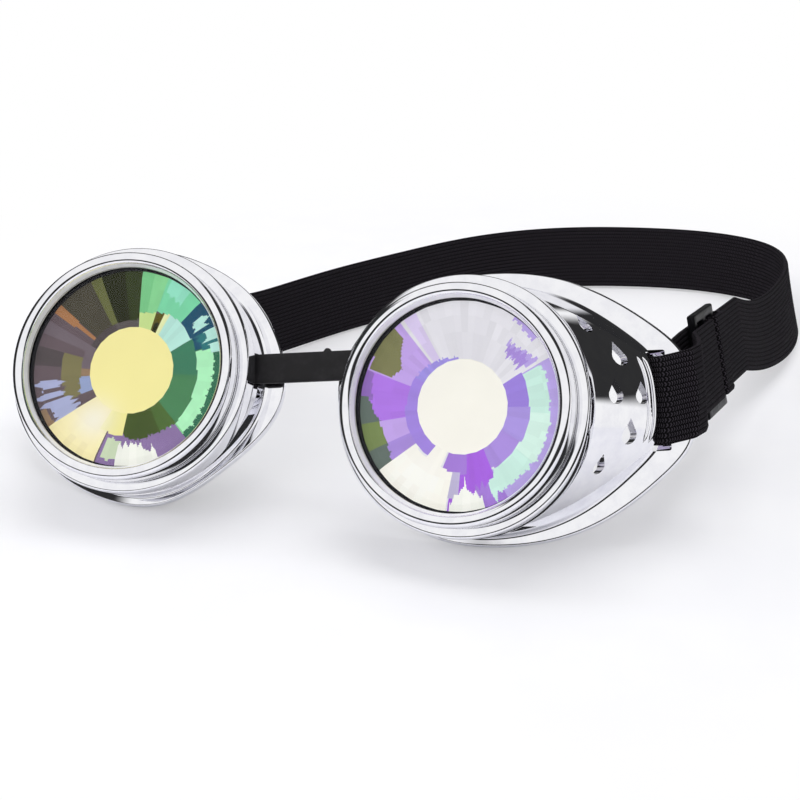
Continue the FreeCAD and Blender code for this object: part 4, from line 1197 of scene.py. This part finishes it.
class GOGGLES_OT_strap(bpy.types.Operator):
    """Build the elastic head strap, its loops and the run behind the slider"""
    bl_idname = "goggles.strap"
    bl_label = "Elastic strap"

    def execute(self, context):
        web = webbing_material()
        gap = SOFT_GAP / 2
        seam_end = LEFT_LOOP_LENGTH + LEFT_SEAM_LENGTH
        sewn = [(LEFT_LOOP_LENGTH, gap), (seam_end, gap), (seam_end, -gap), (LEFT_LOOP_LENGTH, -gap)]
        left = loop_web("left_elastic_loop", lug_corners("left") + sewn, "left", STAYS_UPRIGHT)
        finish_piece(left, web, "left_eyepiece", "webbing", "left_strap_loop")
        join = SLIDER_AT - SOFT_GAP
        start = join - STRAP_WIDTH * pull_axes("right")[0][2]
        turn = SLIDER_STATIONS[3] + SOFT_GAP
        bars = [(start, SLIDER_HALF), (turn, SLIDER_HALF), (turn, -SLIDER_HALF), (start, -SLIDER_HALF)]
        right = loop_web("right_elastic_loop", lug_corners("right") + bars, "right", join)
        finish_piece(right, web, None, "webbing", "right_strap_loop")
        near, far = strap_place([(LOOP_BLEND_START, 0.0), (join, 0.0)], "right") * MM
        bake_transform(right)
        run = finish_piece(build_run(), web, None, "webbing", "right_strap_run")
        near, far = strap_place([(RUN_BLEND_START, 0.0), (RUN_END, 0.0)], "right") * MM
        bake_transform(run)
        strap = finish_piece(build_head_strap(), web, None, "webbing", "head_strap")
        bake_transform(strap)
        return {"FINISHED"}


class GOGGLES_OT_slider(bpy.types.Operator):
    """Build the strap slider"""
    bl_idname = "goggles.slider"
    bl_label = "Strap slider"

    def execute(self, context):
        finish_piece(build_slider(), gloss_plastic_material(), "slider", "black_plastic", "strap_slider")
        return {"FINISHED"}


class GOGGLES_OT_stage(bpy.types.Operator):
    """Set up the floor, the soft light and the camera"""
    bl_idname = "goggles.stage"
    bl_label = "Stage"

    def execute(self, context):
        build_floor(tuple(context.scene.goggles_finishes.floor))
        build_world()
        build_lamps()
        build_camera()
        context.scene.view_settings.view_transform = "Standard"
        return {"FINISHED"}


# Floor in metres, and where it turns white: as the camera sees it, and as polished pieces show it
FLOOR_RADIUS, FLOOR_RINGS, FLOOR_COLUMNS = 0.28, (0.3, 0.6, 1.0), 96
FLOOR_FADE, REFLECTED_FADE, FLOOR_LIFT = (0.14, 0.26), (0.2, 0.28), 0.25


def build_floor(colour):
    """Round table top: it keeps the shadow near the object and turns plain white further out."""
    turns = full_turn(FLOOR_COLUMNS)
    circle = np.stack([np.cos(turns), np.sin(turns), 0 * turns], axis=-1) * FLOOR_RADIUS
    rings = np.array(FLOOR_RINGS)[:, None, None] * circle
    mesh = bpy.data.meshes.new("pale_floor")
    faces = grid_faces(len(FLOOR_RINGS), FLOOR_COLUMNS) + [list(range(FLOOR_COLUMNS))]
    mesh.from_pydata(rings.reshape(-1, 3).tolist(), [], faces)
    material, start, shader = new_material("pale_table")
    place = start.node("ShaderNodeTexCoord", output="Object")
    out = start.node("ShaderNodeVectorMath", {"operation": "LENGTH"}, "Value", _0=place)
    seen = start.node("ShaderNodeLightPath", output="Is Camera Ray")
    bounced = seen.sibling("Is Glossy Ray").math("MAXIMUM", seen.sibling("Is Transmission Ray"))
    whiteness = seen * (FLOOR_LIFT + (1 - FLOOR_LIFT) * out.between(*FLOOR_FADE))
    whiteness = whiteness.math("MAXIMUM", bounced * out.between(*REFLECTED_FADE))
    fleck = noise(start, 40.0, 3.0)
    put(shader, "Base Color", fleck.between(0.3, 0.7).mix(colour, shade(244, 244, 247)))
    put(shader, "Roughness", 0.7)
    put(shader, "Specular IOR Level", 0.2)
    white = start.node("ShaderNodeEmission", Color=(1.0, 1.0, 1.0, 1.0), Strength=1.0)
    show_mix(start, whiteness, Value(start.tree, shader.outputs[0]), white)
    mesh.materials.append(material)
    linked("pale_floor", mesh)


# Dark flags that polished metal shows. A flag lies where all its directions are past their limits: each is
# the name of a direction, where the flag is not yet there, and where it is whole
FLAGS = {
    "low at the front right": (("front_right", 0.66, 0.74), ("up", 0.36, 0.3), ("up", -0.45, -0.35)),
    "right side": (("right", 0.55, 0.62), ("up", 0.04, 0.1), ("up", 0.36, 0.3)),
    "tall at the right": (("right", 0.15, 0.3), ("back", -0.2, -0.05), ("up", 0.04, 0.1), ("up", 0.96, 0.9)),
    "left side": (("right", -0.6, -0.68), ("up", -0.4, -0.3), ("up", 0.66, 0.58)),
    "far": (("up", 0.22, 0.3), ("up", 0.78, 0.7), ("back", 0.25, 0.45)),
    "eye level": (("up", -0.3, -0.22), ("up", 0.22, 0.16), ("right", 0.5, 0.3)),
}
FRONT_RIGHT, FLAG_STRENGTH = (0.643, -0.766, 0.0), 0.97


def build_world():
    """White all round, with dark flags for the edges of polished metal, and an even fill for the rest."""
    world = bpy.data.worlds.new("studio")
    bpy.context.scene.world = world
    world.use_nodes = True
    tree = world.node_tree
    tree.nodes.clear()
    start = Value(tree, None)
    seen = start.node("ShaderNodeLightPath", output="Is Camera Ray")
    glossy = seen.sibling("Is Glossy Ray")
    plain = seen.math("MAXIMUM", seen.sibling("Is Transmission Ray")).math("MAXIMUM", glossy)
    direction = start.node("ShaderNodeTexCoord", output="Generated")
    right = start.node("ShaderNodeSeparateXYZ", Vector=direction)
    ways = {"right": right, "back": right.sibling(1), "up": right.sibling(2)}
    ways["front_right"] = start.node(
        "ShaderNodeVectorMath", {"operation": "DOT_PRODUCT"}, "Value", _0=direction, _1=FRONT_RIGHT)
    dark = 0.0
    for limits in FLAGS.values():
        first, *others = [ways[way].between(none, whole) for way, none, whole in limits]
        dark = math.prod(others, start=first).math("MAXIMUM", dark)
    flagged = (glossy * dark * FLAG_STRENGTH).mix((1.0, 1.0, 1.0, 1.0), shade(6, 6, 8))
    back = start.node("ShaderNodeBackground", Color=plain.mix(shade(188, 188, 192), flagged), Strength=1.0)
    put(tree.nodes.new("ShaderNodeOutputWorld"), "Surface", back)


# Lamps: name, place, target, width, height, power
LAMPS = [
    ("front_softbox", (-0.55, -1.15, 0.78), (0.0, -0.02, 0.03), 1.5, 0.8, 9.0),
    ("overhead_softbox", (0.05, 0.25, 1.25), (0.0, 0.0, 0.0), 1.1, 0.9, 7.5),
    ("left_strip", (-1.15, -0.1, 0.55), (0.0, -0.03, 0.03), 0.3, 0.9, 2.5),
]


def build_lamps():
    """Large soft lamps in front, overhead and to the left, hidden from the camera and from reflections."""
    for name, place, target, width, height, power in LAMPS:
        lamp = bpy.data.lights.new(name, "AREA")
        lamp.shape = "RECTANGLE"
        lamp.size = width
        lamp.size_y = height
        lamp.energy = power
        back = unit(np.subtract(place, target))
        right = unit(np.cross(UP, back))
        piece = linked(name, lamp)
        piece.matrix_world = placed_matrix(right, np.cross(back, right), back, place)
        piece.visible_camera = False
        piece.visible_glossy = False


def placed_matrix(right, upward, back, place):
    """World matrix from three axes and a place."""
    rows = np.stack([right, upward, back, place], axis=1)
    return Matrix([*rows.tolist(), [0.0, 0.0, 0.0, 1.0]])


# Camera: its right, up and back, its place from the middle of the ring centres in mm, its lens and film
CAMERA_AXES = (0.9537, 0.3007, 0.0), (-0.1122, 0.3557, 0.9278), (0.2790, -0.8849, 0.3730)
CAMERA_PLACE, CAMERA_LENS, CAMERA_FILM = (122.65, -296.9, 124.55), 67.5, 36.0


def build_camera():
    """Camera at the photograph's viewing angle."""
    camera = bpy.data.cameras.new("camera")
    camera.sensor_width = CAMERA_FILM
    camera.lens = CAMERA_LENS
    camera.clip_start = 0.01
    piece = linked("camera", camera)
    piece.matrix_world = placed_matrix(*CAMERA_AXES, (ring_middle() + CAMERA_PLACE) * MM)
    bpy.context.scene.camera = piece


OPERATORS = (
    GOGGLES_OT_cups, GOGGLES_OT_rings, GOGGLES_OT_crystals, GOGGLES_OT_seals, GOGGLES_OT_bridge,
    GOGGLES_OT_strap, GOGGLES_OT_slider, GOGGLES_OT_stage)


class GOGGLES_PT_panel(bpy.types.Panel):
    """Sidebar list of the goggles' pieces"""
    bl_idname = "GOGGLES_PT_panel"
    bl_label = "Goggles"
    bl_space_type = "VIEW_3D"
    bl_region_type = "UI"
    bl_category = "Goggles"

    def draw(self, context):
        for operator in OPERATORS:
            self.layout.operator(operator.bl_idname)
        for settings in (context.scene.goggles_sizes, context.scene.goggles_finishes):
            for name in settings.__annotations__:
                self.layout.prop(settings, name)


CLASSES = (GogglesSizes, GogglesFinishes) + OPERATORS + (GOGGLES_PT_panel,)


def register():
    """Register the classes and hang the settings on the scene."""
    for item in CLASSES:
        bpy.utils.register_class(item)
    bpy.types.Scene.goggles_sizes = PointerProperty(type=GogglesSizes)
    bpy.types.Scene.goggles_finishes = PointerProperty(type=GogglesFinishes)


def unregister():
    """Take the settings off the scene and unregister the classes."""
    del bpy.types.Scene.goggles_finishes
    del bpy.types.Scene.goggles_sizes
    for item in reversed(CLASSES):
        bpy.utils.unregister_class(item)


def main():
    """Build everything in order."""
    register()
    for operator in OPERATORS:
        group, name = operator.bl_idname.split(".")
        getattr(getattr(bpy.ops, group), name)()


if __name__ == "__main__":
    main()
